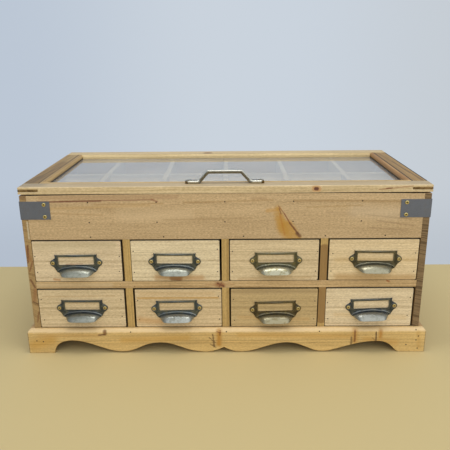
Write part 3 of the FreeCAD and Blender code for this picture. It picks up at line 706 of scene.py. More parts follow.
def plate_relief(u, v):
    """Height over the drawer front and how worn the metal is there."""
    gap = cup_gap(u, v)
    ring = ridge(gap, RING_AT, RING_HALF)
    height = PLATE + RING_H * ring - GROOVE_DEPTH * ridge(gap, GROOVE_AT, GROOVE_HALF)
    worn = WEAR["ring"] * ring
    depth, step = FRAME_HALF - abs(u), POST_W - STEP_W
    if depth >= -0.6 and v > WINDOW_FOOT - FRAME_END:
        over = smoothstep(-0.1, 0.5, depth) - (1 - STEP_H) * smoothstep(step - 0.5, step, depth)
        if depth < POST_W:
            worn = max(worn, WEAR["post"] * smoothstep(step - 0.7, step, depth))
        if depth >= step and v > WINDOW_HEAD:
            middle, half = (FRAME_TOP + WINDOW_HEAD) / 2, (FRAME_TOP - WINDOW_HEAD) / 2 + 0.1
            over = max(0.1, math.sqrt(max(0.0, 1 - ((v - middle) / half) ** 2)))
            worn = max(worn, WEAR["bar"] * ridge(v, FRAME_TOP - 0.5, 1.0))
        fade = smoothstep(WINDOW_FOOT - FRAME_END, WINDOW_FOOT - 0.4, v)
        height = max(height, PLATE + FRAME_H * over * fade)
    if depth < 0:
        away = math.hypot(abs(u) - EAR[0], v - EAR[1])
        height += EYE_H * ridge(away, EYE_AT, EYE_HALF)
        worn = max(worn, WEAR["eye"] * ridge(away, EYE_WORN_AT, EYE_WORN_HALF))
    return height, worn


def inside(point, polygon):
    u, v = point
    hit = False
    for (a, b), (c, d) in zip(polygon, polygon[1:] + polygon[:1]):
        if (b > v) != (d > v) and u < (c - a) * (v - b) / (d - b) + a:
            hit = not hit
    return hit


def add_pull_plate(bm):
    """Plate with its relief, the card window and the hole behind the cup."""
    outline = RIGHT_EDGE + [(-u, v) for u, v in reversed(RIGHT_EDGE)]
    window, hole = window_outline(), cup_arc(-0.8)
    lines = [cup_arc(gap) for gap in RING_LINES]
    lines += [[(s * (FRAME_HALF - depth), v) for v in POST_STOPS]
              for depth in POST_LINES for s in (-1, 1)]
    bar_h = FRAME_TOP - WINDOW_HEAD
    lines += [[(s * BAR_LINE_HALF, FRAME_TOP - bar_h * share) for s in (-1, 0, 1)]
              for share in BAR_LINES]
    lines += [[(s * END_LINE_HALF, WINDOW_FOOT - drop) for s in (-1, 0, 1)] for drop in END_LINES]
    lines += [arc((s * EAR[0], EAR[1]), r, 0, 360, 24) for s in (-1, 1) for r in EYE_LINES]
    points, edges = [], []
    for line in lines + [loop + loop[:1] for loop in (outline, window, hole)]:
        start = len(points)
        points += [Vector(p) for p in line]
        edges += [(k, k + 1) for k in range(start, len(points) - 1)]
    points, _, faces, *_ = delaunay_2d_cdt(points, edges, [], 0, 0.001)
    verts = {}
    for face in faces:
        middle = sum((points[k] for k in face), Vector((0, 0))) / len(face)
        if not inside(middle, outline) or inside(middle, window) or inside(middle, hole):
            continue
        for k in face:
            if k not in verts:
                height, worn = plate_relief(*points[k])
                verts[k] = add_vert(bm, (points[k].x, -height, points[k].y), worn)
        bm.faces.new([verts[k] for k in face])
    rim = [e for e in bm.edges if len(e.link_faces) == 1]
    for made in bmesh.ops.extrude_edge_only(bm, edges=rim)["geom"]:
        if isinstance(made, bmesh.types.BMVert):
            made.co.y = 0.0
    bevel(bm, rim, 0.3, 2, clamp=True)


def add_pull_cup(bm):
    """Cup between its two bottom corners: an outer skin, a rounded lip and an inner skin."""
    across, around = CUP_STEPS
    skins = []
    for wall in (0.0, CUP_WALL):
        half, high, out = CUP_HALF - wall, CUP_H - wall, CUP_OUT - wall
        skin = []
        for j in range(around + 1):
            turn = CUP_TURN * j / around
            forward = math.sin(turn) / math.sin(CUP_TURN)
            drop = (1 - math.cos(turn)) / (1 - math.cos(CUP_TURN))
            row = []
            for i in range(across + 1):
                x = -math.cos(math.pi * i / across)
                rise = math.sqrt(max(0.0, 1 - x * x))
                flank = max(1e-6, (1 - abs(x)) / CUP_CORNER)
                reach = (1 + flank ** -4) ** (-1 / 4)
                top, low = CUP_FOOT + high * rise, CUP_FOOT + (LIP_FOOT - CUP_FOOT) * reach
                worn = smoothstep(3, 14, math.degrees(turn)) * smoothstep(1.0, 0.985, abs(x))
                row.append(add_vert(
                    bm, (half * x, -out * reach * forward, top + (low - top) * drop),
                    0.15 if wall else worn))
            skin.append(row)
        skins.append(skin)
    outer, inner = skins
    lip = [add_vert(bm, (a.co + b.co) / 2 - Vector((0, 0, LIP_ROUND)), 1.0)
           for a, b in zip(outer[-1], inner[-1])]
    rows = outer + [lip] + inner[::-1]
    add_skin(bm, rows)
    bmesh.ops.remove_doubles(bm, verts=[v for row in rows for v in row], dist=0.01)


# Plain, worn and mottled colour of each pull, and how strong its patina is
PULL_LOOKS = [((72, 81, 88), (146, 148, 136), (112, 112, 98), 0.6),
              ((69, 76, 80), (148, 150, 138), (118, 120, 110), 0.55),
              ((92, 90, 72), (166, 163, 140), (126, 117, 78), 0.75),
              ((80, 77, 64), (152, 148, 126), (120, 112, 84), 0.6),
              ((70, 77, 84), (144, 146, 136), (112, 114, 100), 0.55),
              ((76, 86, 92), (158, 160, 152), (122, 120, 102), 0.6),
              ((80, 72, 56), (152, 144, 116), (120, 106, 66), 0.7),
              ((64, 72, 80), (152, 153, 144), (118, 118, 106), 0.5)]


def make_pulls():
    """Each pull is turned and placed by the two screws that the CAD gives it."""
    brass = metal("pull_brass", (104, 86, 50), (214, 194, 134), (170, 146, 88), roughness=0.4,
                  mottling=0.4, size=2.0)
    for i, (plain, worn, mottled, amount) in zip(DRAWERS, PULL_LOOKS):
        node, screws = f"drawer_{i}_pull", f"drawer_{i}_pull_screws"
        left, right = sorted((tip for tip, _, _ in screws_in(screws)), key=lambda p: p.x)
        middle, run = (left + right) / 2, (right - left).normalized()
        bm = metal_mesh()
        add_pull_plate(bm)
        add_pull_cup(bm)
        place = Matrix(((run.x, 0, -run.z, middle.x), (0, 1, 0, FRONT_Y),
                        (run.z, 0, run.x, middle.z), (0, 0, 0, 1)))
        put(bm, place @ Matrix.Translation((0, 0, -EAR[1] * MM)))
        bronze = metal(f"pull_bronze_{i}", plain, worn, mottled, metallic=0.85, mottling=amount,
                       seed=i)
        piece(f"cup_pull_{i}", bm, bronze, node, smooth_angle=40)
        screws_for(screws, brass, {2.6: 1.3}, seed=i)


# ------------------------------------------------------------------ lid handle
# Millimetres; distances along the handle are from its middle
HANDLE_HALF, HANDLE_TOP_HALF, HANDLE_H, HANDLE_FOOT_L = 58.2, 24.5, 19.6, 20.5
HANDLE_BAR, HANDLE_FOOT = (6.4, 5.2), (9.6, 4.8)  # width and thickness
HANDLE_BEND = 3.2
HANDLE_TIP = 4.8      # rounded end of a foot
TIP_SHARE = (0.25, 0.7)  # of its width and thickness that is left at the very end
HANDLE_ROUND = 0.55   # power of its section: 1 is an ellipse, 0 a rectangle
HANDLE_STEPS = 24     # round the section
WIDENS, FLAT_FROM = (35.2, 41.2), 41.7
# Distances over which the bar's painted highlight gives way to the feet's, and the tips tarnish.
FOOT_SHEEN, TARNISH = (36, 42), (53.2, 55.2)


def rounded_path(points, radius, steps=7):
    """Polyline in the xz plane with arcs at its inner corners."""
    path = [points[0]]
    for before, corner, after in zip(points, points[1:], points[2:]):
        a, b = (before - corner).normalized(), (after - corner).normalized()
        half = a.angle(b) / 2
        middle = corner + (a + b).normalized() * radius / math.sin(half)
        start, end = corner + a * radius / math.tan(half), corner + b * radius / math.tan(half)
        for k in range(steps + 1):
            spoke = (start - middle).lerp(end - middle, k / steps).normalized() * radius
            path.append(middle + spoke)
    return path + [points[-1]]


def handle_line():
    """Places on the middle line of the handle, closer together at the tips of its feet."""
    foot, low, high = HANDLE_HALF - HANDLE_FOOT_L, HANDLE_FOOT[1] / 2, HANDLE_H - HANDLE_BAR[1] / 2
    corners = [(-HANDLE_HALF, low), (-foot, low), (-HANDLE_TOP_HALF, high),
               (HANDLE_TOP_HALF, high), (foot, low), (HANDLE_HALF, low)]
    path = rounded_path([Vector((x, 0, z)) for x, z in corners], HANDLE_BEND)
    line = []
    for a, b in zip(path, path[1:]):
        steps = max(1, round((b - a).length / 1.6))
        line += [a.lerp(b, k / steps) for k in range(steps)]
    line = [p for p in line if abs(p.x) < HANDLE_HALF - HANDLE_TIP]
    tips = [HANDLE_HALF - HANDLE_TIP * (1 - math.sin(math.pi / 2 * k / 6)) for k in range(6)]
    return ([Vector((-x, 0, low)) for x in reversed(tips)] + line
            + [Vector((x, 0, low)) for x in tips])


def handle_size(x):
    """Width and thickness of the handle at this distance."""
    share = smoothstep(*WIDENS, x)
    width, thick = (bar + (foot - bar) * share for bar, foot in zip(HANDLE_BAR, HANDLE_FOOT))
    tip = x - (HANDLE_HALF - HANDLE_TIP)
    if tip > 0:
        fall = 1 - max(0.0, 1 - (tip / HANDLE_TIP) ** 3) ** (1 / 3)
        width *= 1 - (1 - TIP_SHARE[0]) * fall
        thick *= 1 - (1 - TIP_SHARE[1]) * fall
    return width, thick


def handle_sheen_and_tarnish(x, up):
    """The metal's zone at this distance, where the surface looks up by this sine. It paints a
    highlight: the bar lighter on its upper side than below, and the feet lighter on their front
    and back faces than on top and underneath. Near the tips it turns to tarnish, but not on top.
    """
    bar = 0.1 + 0.9 * smoothstep(0.25, 0.75, up)
    foot = smoothstep(-0.95, -0.6, up) * (0.9 - 0.9 * smoothstep(0.7, 0.85, up))
    worn = bar + (foot - bar) * smoothstep(*FOOT_SHEEN, x)
    return worn - (1.0 + worn) * smoothstep(*TARNISH, x) * (1 - smoothstep(0.5, 0.9, up))


def make_handle():
    bm = metal_mesh()
    line, rings = handle_line(), []
    for k, p in enumerate(line):
        along = (line[min(k + 1, len(line) - 1)] - line[max(k - 1, 0)]).normalized()
        normal, x = Vector((-along.z, 0, along.x)), abs(p.x)
        width, thick = handle_size(x)
        if x > HANDLE_HALF - HANDLE_FOOT_L - 1:
            p = Vector((p.x, 0, max(p.z, thick / 2) if x < FLAT_FROM else thick / 2))
        ring = []
        for j in range(HANDLE_STEPS):
            angle = 2 * math.pi * j / HANDLE_STEPS
            y, z = (math.copysign(abs(c) ** HANDLE_ROUND, c) / 2
                    for c in (math.cos(angle), math.sin(angle)))
            ring.append(add_vert(bm, p + Vector((0, width * y, 0)) + normal * thick * z,
                                 handle_sheen_and_tarnish(x, math.sin(angle))))
        rings.append(ring)
    add_skin(bm, rings, rings=True, capped=True)
    put(bm, on_foot_of("lid_handle"))
    pewter = metal("handle_pewter", (106, 102, 92), (214, 211, 196), (150, 144, 128),
                   roughness=0.3, size=2.5, tarnish=(112, 88, 44))
    piece("lid_bar_handle", bm, pewter, "lid_handle", smooth_angle=50)
    steel = metal("handle_screw_steel", (44, 44, 46), (206, 206, 202), (140, 140, 136),
                  roughness=0.2, mottling=0.3, size=2.0)
    screws_for("lid_handle_screws", steel, {3.0: 1.6}, seed=50)


# ------------------------------------------------------------------ corner brackets
# Millimetres
BRACKET_LEG, BRACKET_THICK, BRACKET_BEND, BRACKET_EASE = 44.5, 0.9, 1.0, 0.18
BRACKET_WEAR = 0.4


def make_brackets():
    """Both bent plates in one piece, and their screws."""
    low, high = (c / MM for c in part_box("corner_brackets"))
    # Seen from above: from the tip of the front leg, round the bend, to the tip of the other,
    # and back on the inner side.
    x, y = high.x, low.y
    hub = (x - BRACKET_BEND, y + BRACKET_BEND)
    outer = [(x - BRACKET_LEG, y), *arc(hub, BRACKET_BEND, -90, 0, 6), (x, y + BRACKET_LEG)]
    inner = [(x - BRACKET_LEG, y + BRACKET_THICK),
             *arc(hub, BRACKET_BEND - BRACKET_THICK + 0.02, -90, 0, 6),
             (x - BRACKET_THICK, y + BRACKET_LEG)]
    bm = metal_mesh()
    for side in (-1, 1):
        rings = [[bm.verts.new((side * px, py, z)) for px, py in outer + inner[::-1]]
                 for z in (low.z, high.z)]
        add_skin(bm, rings, rings=True, capped=True)
    bmesh.ops.recalc_face_normals(bm, faces=bm.faces)
    bevel(bm, [e for e in bm.edges if e.calc_face_angle(0) > math.radians(60)], BRACKET_EASE, 2)
    for v in bm.verts:
        v[bm.verts.layers.float["zone"]] = BRACKET_WEAR
    bm.transform(Matrix.Scale(MM, 4))
    steel = metal("bracket_steel", (100, 106, 120), (136, 142, 156), (116, 118, 126),
                  roughness=0.5, metallic=0.75, mottling=0.6, size=9.0)
    piece("corner_plates", bm, steel, "corner_brackets", flat=True)
    brass = metal("bracket_brass", (96, 78, 42), (216, 198, 132), (172, 146, 82), roughness=0.36,
                  mottling=0.4, size=2.0)
    screws_for("case_screws", brass, {2.7: 1.2, 1.9: 0.9}, seed=60)


# ------------------------------------------------------------------ hinges and pins
def make_hinges_and_pins():
    brass = metal("hinge_brass", (120, 98, 56), (176, 150, 88), (134, 112, 66), roughness=0.4,
                  size=8.0)
    paint("hinge_body_leaves", brass)
    paint("hinge_lid_leaves", brass)
    screws_for("hinge_lid_screws", brass, {1.9: 0.9}, seed=70, domed=0.1)
    paint("panel_pins", metal("pin_steel", (30, 24, 20), (46, 38, 32), (44, 32, 24),
                              roughness=0.7, metallic=0.3, mottling=0.6, size=2.0))
    paint("hinge_pins", metal("hinge_steel", (112, 110, 106), (150, 148, 144), (96, 88, 76),
                              size=4.0))


# ------------------------------------------------------------------ camera and stage
CAMERA_PLACE = Vector((9.2, -783.3, 187.9)) * MM  # from the middle of the lid's top front edge
CAMERA_YAW, CAMERA_PITCH, CAMERA_ROLL = 0.0108, 0.3047, -0.0096
FOCAL_PIXELS = 559.26
PICTURE_PIXELS = 450
WALL_Y, WALL_H = 0.218, 3.0
STAGE_REACH = 6.0


def make_camera():
    data = bpy.data.cameras.new("camera")
    data.sensor_width = 36.0
    data.lens = data.sensor_width * FOCAL_PIXELS / PICTURE_PIXELS
    data.shift_x = -0.5 / PICTURE_PIXELS
    data.clip_start = 0.01
    yaw = Matrix.Rotation(CAMERA_YAW, 3, "Z")
    forward = yaw @ Vector((0, math.cos(CAMERA_PITCH), -math.sin(CAMERA_PITCH)))
    right = yaw @ Vector((1, 0, 0))
    turn = Matrix((right, right.cross(forward), -forward)).transposed()
    turn = turn @ Matrix.Rotation(CAMERA_ROLL, 3, "Z")
    SCENE.camera = new_object("camera", data)
    SCENE.camera.matrix_world = (
        Matrix.Translation(CAMERA_PLACE + Vector((0, LID_FRONT_Y, LID_TOP_Z))) @ turn.to_4x4())


def plane(name, near, far, material):
    """Part of the stage between two lines along x, each with a y and a z."""
    mesh = bpy.data.meshes.new(name)
    mesh.from_pydata([(side * STAGE_REACH, *line) for side, line in
                      ((-1, near), (1, near), (1, far), (-1, far))], [], [(0, 1, 2, 3)])
    mesh.materials.append(material)
    new_object(name, mesh)


def make_stage():
    floor, g, shader, _ = new_material("floor")
    g.fill(shader, {"Base Color": srgb(201, 181, 129), "Roughness": 0.7})
    plane("floor", (-STAGE_REACH, 0), (STAGE_REACH, 0), floor)

    # The wall glows, seen from the front by camera, glossy and transmission rays, as a painted
    # backdrop. To everything else it is transparent, so it lets all light through.
    wall, g, shader, output = new_material("wall")
    x, _, z = g.node("ShaderNodeSeparateXYZ",
                     {0: g.node("ShaderNodeTexCoord").outputs["Object"]}).outputs
    # Painted light across it, darker on the left and lightest in the middle, and painted shade
    # towards its foot.
    colour = g.mix(g.smooth(x, -0.45, 0.0), srgb(188, 199, 213), srgb(202, 211, 221))
    colour = g.mix(g.smooth(x, 0.1, 0.5), colour, srgb(198, 205, 212))
    foot = g.mix(0.25, colour, srgb(150, 158, 172))
    colour = g.mix(g.smooth(z, 0.0, 0.2), foot, colour)
    glow = g.node("ShaderNodeEmission", {"Color": colour, "Strength": 1.0})
    rays = g.node("ShaderNodeLightPath").outputs
    shown = g.math("ADD", rays["Is Camera Ray"], rays["Is Glossy Ray"])
    shown = g.math("ADD", shown, rays["Is Transmission Ray"], clamp=True)
    behind = g.node("ShaderNodeNewGeometry").outputs["Backfacing"]
    shown = g.times(shown, g.math("SUBTRACT", 1.0, behind))
    g.fill(output, {"Surface": g.either(shown, g.node("ShaderNodeBsdfTransparent"), glow)})
    g.tree.nodes.remove(shader)
    plane("wall", (WALL_Y, 0), (WALL_Y, WALL_H), wall)


def area_light(name, place, target, size, power, colour=(1, 1, 1)):
    data = bpy.data.lights.new(name, "AREA")
    data.shape = "RECTANGLE"
    data.size, data.size_y = size
    data.energy = power
    data.color = colour
    light = new_object(name, data)
    light.location = place
    light.rotation_euler = (Vector(target) - Vector(place)).to_track_quat("-Z", "Y").to_euler()
    light.visible_camera = False


def make_light():
    area_light("key", (1.1, -2.9, 2.5), (0, 0, 0.1), (6.0, 4.4), 88, (1.0, 0.985, 0.96))
    area_light("top", (0.0, -0.2, 1.7), (0, -0.15, 0.15), (1.0, 0.36), 9)
    SCENE.world = bpy.data.worlds.new("world")
    SCENE.world.use_nodes = True
    g = Graph(SCENE.world.node_tree)
    sky = g.node("ShaderNodeBackground", {"Color": srgb(206, 213, 222), "Strength": 0.78})
    seen_sky = g.node("ShaderNodeBackground", {"Color": srgb(200, 208, 218), "Strength": 1.0})
    seen = g.node("ShaderNodeLightPath").outputs["Is Camera Ray"]
    g.node("ShaderNodeOutputWorld", {"Surface": g.either(seen, sky, seen_sky)})


# ------------------------------------------------------------------ marks on the boards
# Each row has two places on a face in millimetres, a radius and a colour, and then a strength,
# softness, raggedness and bend of the rings, where they aren't mark()'s own.
RED, ORANGE = (132, 76, 46), (188, 140, 52)
PANEL_SPOTS = marks(
    on_front,
    (62, 227, 79, 229, 4.5, (198, 152, 82), 0.6),
    (77, 231, 87, 205, 7, ORANGE, 0.65, 1, 3),
    (81, 214, 90, 196, 12, ORANGE, 0.6, 1, 4),
    (86, 202, 97, 184, 15, ORANGE, 0.75, 0.9, 5),
    (74, 222, 82, 196, 6, ORANGE, 0.5, 1, 4),
    (94, 208, 108, 186, 7, ORANGE, 0.7, 0.9, 4),
    (80, 222, 88, 190, 2.2, (178, 112, 44), 0.5, 1, 2),
    (78, 234, 87, 222, 1.3, RED, 0.6),
    (87, 222, 95, 208, 1.5, RED, 0.85),
    (95, 208, 108, 191, 2, (116, 70, 46), 0.9),
    (106, 192, 110, 188, 4.2, (100, 64, 44), 0.8),
    (79, 230, 82, 222, 1.2, (112, 66, 44), 0.75),
    (-272, 242.2, -180, 243.4, 2.1, (112, 62, 42), 0.85, 0.9, 0.8),
    (-240, 243.4, -104, 244.6, 1.4, (124, 76, 50), 0.7, 0.9, 0.8),
    (-106, 245, -98, 242, 2.2, (150, 92, 62), 0.6),
    (-268, 248.5, -70, 248.5, 4.6, (170, 134, 100), 0.4, 0.6),
    (205, 220, 272, 213, 2.2, (150, 122, 88), 0.5, 1, 2),
    (222, 211, 276, 203, 1.8, (146, 118, 86), 0.5, 1, 2),
    (214, 200, 268, 196, 2.4, (156, 128, 94), 0.45, 1, 2),
    (-260, 232, -110, 236, 3.6, (196, 158, 100), 0.4, 1, 2),
    (40, 246, 60, 246, 3, (150, 112, 76), 0.35, 1, 2),
    (150, 224, 190, 220, 5, (166, 138, 104), 0.35, 1, 3),
    (-150, 222, -55, 222, 18, (216, 190, 150), 0.4, 1, 4),
    (190, 226, 250, 222, 18, (204, 184, 154), 0.4, 1, 4),
    (-60, 240, 70, 243, 2.2, (160, 124, 68), 0.5, 1, 3),
    (100, 242, 270, 240, 2.6, (158, 124, 72), 0.5, 1, 3),
    (-190, 238, -90, 239, 2, (164, 128, 72), 0.45, 1, 3),
    (-280, 226, -180, 222, 2.4, (168, 132, 82), 0.4, 1, 3),
    (-90, 214, 40, 216, 2, (160, 130, 84), 0.4, 1, 3),
    (120, 232, 200, 234, 2, (168, 134, 80), 0.45, 1, 3))
SHELF_SPOTS = marks(
    on_front,
    (-285, 111, -175, 111, 7, (206, 184, 146), 0.5, 1, 2),
    (-12, 111, -5, 110, 7.5, (146, 94, 54), 0.8, 1, 3, 3),
    (-12, 113, -3, 108, 2.2, (104, 58, 38), 0.9, 0.8, 3),
    (-10, 107, -6, 114, 1.4, (110, 62, 44), 0.7, 0.8, 3),
    (-30, 111, 14, 111, 2, (160, 108, 66), 0.35, 1, 2),
    (244, 116, 247, 114.5, 2.2, (158, 92, 44), 0.8),
    *dots([(-160.5, 111.6), (-138.6, 108.7), (137.4, 110.8)], 0.8, (50, 36, 26), 0.9, 0.5, 0.0))
UPRIGHT_SPOTS = marks(on_front, (147.5, 55, 147.5, 165, 11.0, (136, 100, 56), 0.75, 0.2))
LEFT_SIDE_SPOTS = marks(
    on_front,
    (-298, 252, -290, 250, 5.5, (130, 100, 70), 0.6, 0.4),
    (-291, 212, -291, 186, 2, (214, 200, 168), 0.8, 1, 2),
    (-297, 172, -294, 152, 5.5, (158, 104, 58), 0.7, 1, 3),
    (-294, 176, -297, 148, 1.7, (112, 68, 40), 0.85, 0.8, 2.5),
    (-290, 150, -296, 134, 1.7, (128, 80, 46), 0.8, 0.8, 2.5),
    (-296, 120, -291, 108, 2.4, (110, 68, 42), 0.8, 0.8, 2.5),
    (-291, 104, -294, 86, 5, (150, 100, 60), 0.6, 1, 3),
    (-296, 84, -289, 80, 1.6, (98, 62, 38), 0.8, 0.8, 2),
    (-290, 66, -293, 50, 1.8, (122, 80, 48), 0.7, 0.8, 2.5))
PLINTH_SPOTS = marks(
    on_plinth,
    (-300, 14, -272, 22, 16, (190, 142, 54), 0.6, 1, 3),
    (-160, 22, -60, 26, 9, (198, 152, 70), 0.55, 1, 3),
    (20, 30, 190, 27, 7, (200, 154, 76), 0.5, 1, 3),
    (216, 22, 262, 16, 10, (198, 150, 72), 0.5, 1, 3))
# A pale band along the rounded top edge: painted highlight.
PLINTH_SPOTS += marks(
    in_plinth, (-308, 38.4, 308, 38.4, 6.2, (238, 208, 158), 0.62, 0.55, 4.0))
PLINTH_SPOTS += marks(
    on_plinth,
    (-188, 41, -187.5, 33, 4.4, (122, 84, 40), 0.9, 0.7, 2),
    (-198, 31, -188, 31.5, 1.7, (104, 66, 40), 0.95, 0.8, 1.2),
    (-10.5, 40, -11, 14, 7.5, (182, 128, 44), 0.85, 1, 3),
    (-8.5, 41, -9.5, 30, 2, (128, 84, 36), 0.8, 0.8, 2),
    (-14.5, 36, -9, 34.5, 1.3, (128, 76, 36), 0.8, 0.8, 1.2),
    (-20.5, 31, -18.5, 10, 2.2, (110, 84, 50), 0.85, 0.8, 3),
    (-26, 26, -17, 17, 1.7, (120, 92, 54), 0.75, 0.8, 3),
    (-25, 15, -16, 9, 1.5, (124, 96, 58), 0.7, 0.8, 3),
    (199, 40, 199, 19, 8, (184, 130, 52), 0.7, 1, 3),
    (199, 42, 199, 19, 2.4, (116, 72, 34), 0.8, 0.8, 2.5),
    (194, 25, 194, 14, 2.6, (118, 92, 54), 0.8, 0.8, 2.5),
    (231.5, 34, 232, 20, 1.7, (80, 54, 32), 0.95, 0.8, 1.2),
    (226, 24, 231, 20, 1.6, (124, 96, 58), 0.7, 0.8, 2.5),
    (238.5, 40, 238.5, 26, 5.5, (180, 124, 44), 0.8, 1, 3),
    (-290, 30, -200, 30, 5, (190, 146, 82), 0.4, 1, 2),
    (296, 34, 299, 8, 5, (190, 144, 66), 0.4, 1, 3),
    (-308, 34, -308, 0, 1.6, (92, 70, 44), 0.8, 0.8, 1),
    (308, 34, 308, 0, 1.6, (92, 70, 44), 0.8, 0.8, 1),
    *dots([(-284.4, 19.9), (278.9, 12.2)], 1.4, (40, 28, 20), 1.0, 0.5, 0.0))
FRONT_RAIL_SPOTS = marks(
    on_front,
    (130, 259.5, 134, 259.5, 6.5, (196, 140, 84), 0.7, 0.6, 2),
    (131, 259.5, 133, 259.5, 3.4, (100, 60, 48), 0.95, 0.5, 1.5, 5),
    (222, 257.6, 270, 262.4, 1.3, (150, 92, 60), 0.6),
    (233, 259.2, 241, 259.8, 1.6, (120, 70, 44), 0.7))
# On its top: the whole face darker than the front face, which is painted shade; darker ends and a
# streak.
FRONT_RAIL_SPOTS += marks(
    on_lid,
    (-300, -118, 300, -118, 21.6, (158, 137, 104), 0.62, 0.12, 1),
    (-296, -124, -272, -122, 18, (128, 116, 96), 0.6, 1, 3),
    (296, -124, 276, -122, 14, (146, 130, 102), 0.4, 1, 3),
    (-230, -122, 240, -122, 3, (150, 126, 88), 0.5, 1, 3))
BACK_RAIL_SPOTS = marks(on_lid, (-37, 131, -31, 131, 9, (112, 62, 36), 1, 0.9, 1.5, 4))
# Darker towards the front and lighter towards the back, a painted sheen; streaks; and a dark line
# along the inner edge by the bead, a painted shadow in the joint.
LEFT_RAIL_SPOTS = marks(
    on_lid,
    (-290, -118, -289, -70, 16, (112, 94, 66), 0.55, 1),
    (-284, 60, -283, 125, 11, (192, 164, 112), 0.5, 1),
    (-298, -60, -284, 100, 2, (98, 76, 46), 0.75, 0.9, 2),
    (-297, -112, -280, 10, 2.4, (88, 68, 42), 0.75, 0.9, 2),
    (-292, -116, -279, -40, 2, (92, 70, 44), 0.7, 0.9, 2),
    (-276.6, -112, -276.6, 122, 2.1, (52, 36, 20), 1, 0.5, 0.5))
# A pale streak, darker streaks, a dark line along the inner edge by the bead, a painted shadow in
# the joint, and a dark line along the outer edge, painted shade.
RIGHT_RAIL_SPOTS = marks(
    on_lid,
    (282, -110, 284, 120, 4, (170, 136, 82), 0.4, 1, 2),
    (294, -116, 288, 40, 2, (92, 70, 44), 0.75, 0.9, 2),
    (290, -60, 285, 110, 2, (96, 74, 48), 0.7, 0.9, 2),
    (276.6, -112, 276.6, 122, 2.3, (44, 28, 16), 1, 0.5, 0.5),
    (300.4, -145, 300.4, 145, 3.8, (40, 30, 28), 1, 0.35, 0.5))
# A streak on top, which on the right bead is pale, a painted highlight, and a dark line where the
# bead meets the glass, painted shadow
BEAD_SPOTS = {
    "left": marks(on_lid, (-272.6, -108, -272.2, 120, 0.9, (112, 80, 44), 0.7, 0.8, 1.2))
    + marks(beside_glass, (-269.4, -112, -269.4, 122, 1.9, (50, 36, 22), 0.95, 0.6)),
    "right": marks(on_lid, (273.6, -60, 273.2, 40, 1.4, (206, 172, 118), 0.6, 1.0, 1.2))
    + marks(beside_glass, (269.4, -112, 269.4, 122, 2.2, (44, 30, 18), 0.95, 0.6))}
DRAWER_SPOTS = [
    [(-280, 175, -168, 175, 9, (182, 168, 128), 0.35, 0.6, 2),
     (-240, 145, -214, 146, 1.3, (150, 92, 62), 0.6, 1, 1.5),
     (-260, 121, -252, 120, 3, (178, 118, 60), 0.6)],
    [(-80, 123, -70, 122, 7, (100, 54, 32), 1, 0.6, 2, 4),
     (-104, 123, -36, 122, 8, (190, 146, 94), 0.7, 1, 3)],
    [(20, 120, 128, 122, 4, (190, 156, 108), 0.4, 1, 2)],
    [(168, 150, 280, 150, 9, (206, 172, 112), 0.35, 1, 3),
     (170, 122, 280, 120, 12, (180, 138, 78), 0.6, 1, 3)],
    [(-280, 92, -170, 93, 2, (176, 140, 92), 0.4, 1, 2)],
    [(-135, 89, -12, 89, 2.4, (194, 146, 64), 0.75, 1, 1.5),
     (-130, 96, -20, 96, 6, (200, 162, 108), 0.3, 1, 2),
     (-134, 52, -100, 49, 9, (196, 144, 78), 0.5, 1, 3)],
    [(14, 98, 136, 99, 7, (150, 126, 90), 0.45, 1, 3),
     (20, 56, 128, 52, 5, (196, 156, 96), 0.4, 1, 2)],
    [(170, 60, 276, 54, 7, (214, 182, 126), 0.4, 1, 3)]]
# Pin heads in each drawer front: x and z in millimetres
DRAWER_PINS = [
    [(-285.5, 157.9), (-284.2, 132.4), (-158.6, 157.4), (-160.2, 133.3)],
    [(-137.4, 165.3), (-137.4, 131.5), (-11.8, 167.8), (-11.8, 132.2)],
    [(10.5, 164.3), (10.5, 131.9), (137.5, 163.2), (135.6, 132)],
    [(160.3, 160.2), (158.7, 131.9), (283.1, 160.1), (283, 130.8)],
    [(-283.6, 87.5), (-282.1, 52.8), (-160.9, 86.7), (-160.9, 58.3)],
    [(-135.2, 85), (-134.2, 52.7), (-11.2, 91.5), (-10.1, 52.8)],
    [(11.9, 85.7), (13.3, 50.6), (136.6, 82.7), (135.9, 52.4)],
    [(156.1, 80.2), (157.5, 52.6), (281.9, 87.8), (279.5, 57.6)]]


def pin_dirt(y):
    """Dirt round the head of each CAD pin in the face that is this far along the y axis."""
    found = []
    for island in islands("panel_pins"):
        head = min(c.y for c in island)
        x, z = (sum(c[k] for c in island) / len(island) / MM for k in (0, 2))
        if abs(head - y) < MM:
            found.append(mark((x, y / MM, z), (x, y / MM, z), 1.5, (40, 28, 20), 0.9, 0.6, 0.0))
    return found


def divider_painted_light():
    """A pale wash on the front of the tray's lengthwise divider, below its top edge: painted
    light on a face that the lamps leave in shade.
    """
    low, high = (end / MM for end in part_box("tray_long_divider"))
    z = low.z + 25
    return [mark((low.x, low.y, z), (high.x, low.y, z), 28.0, (236, 216, 176), 0.95, 0.3, 0.0)]


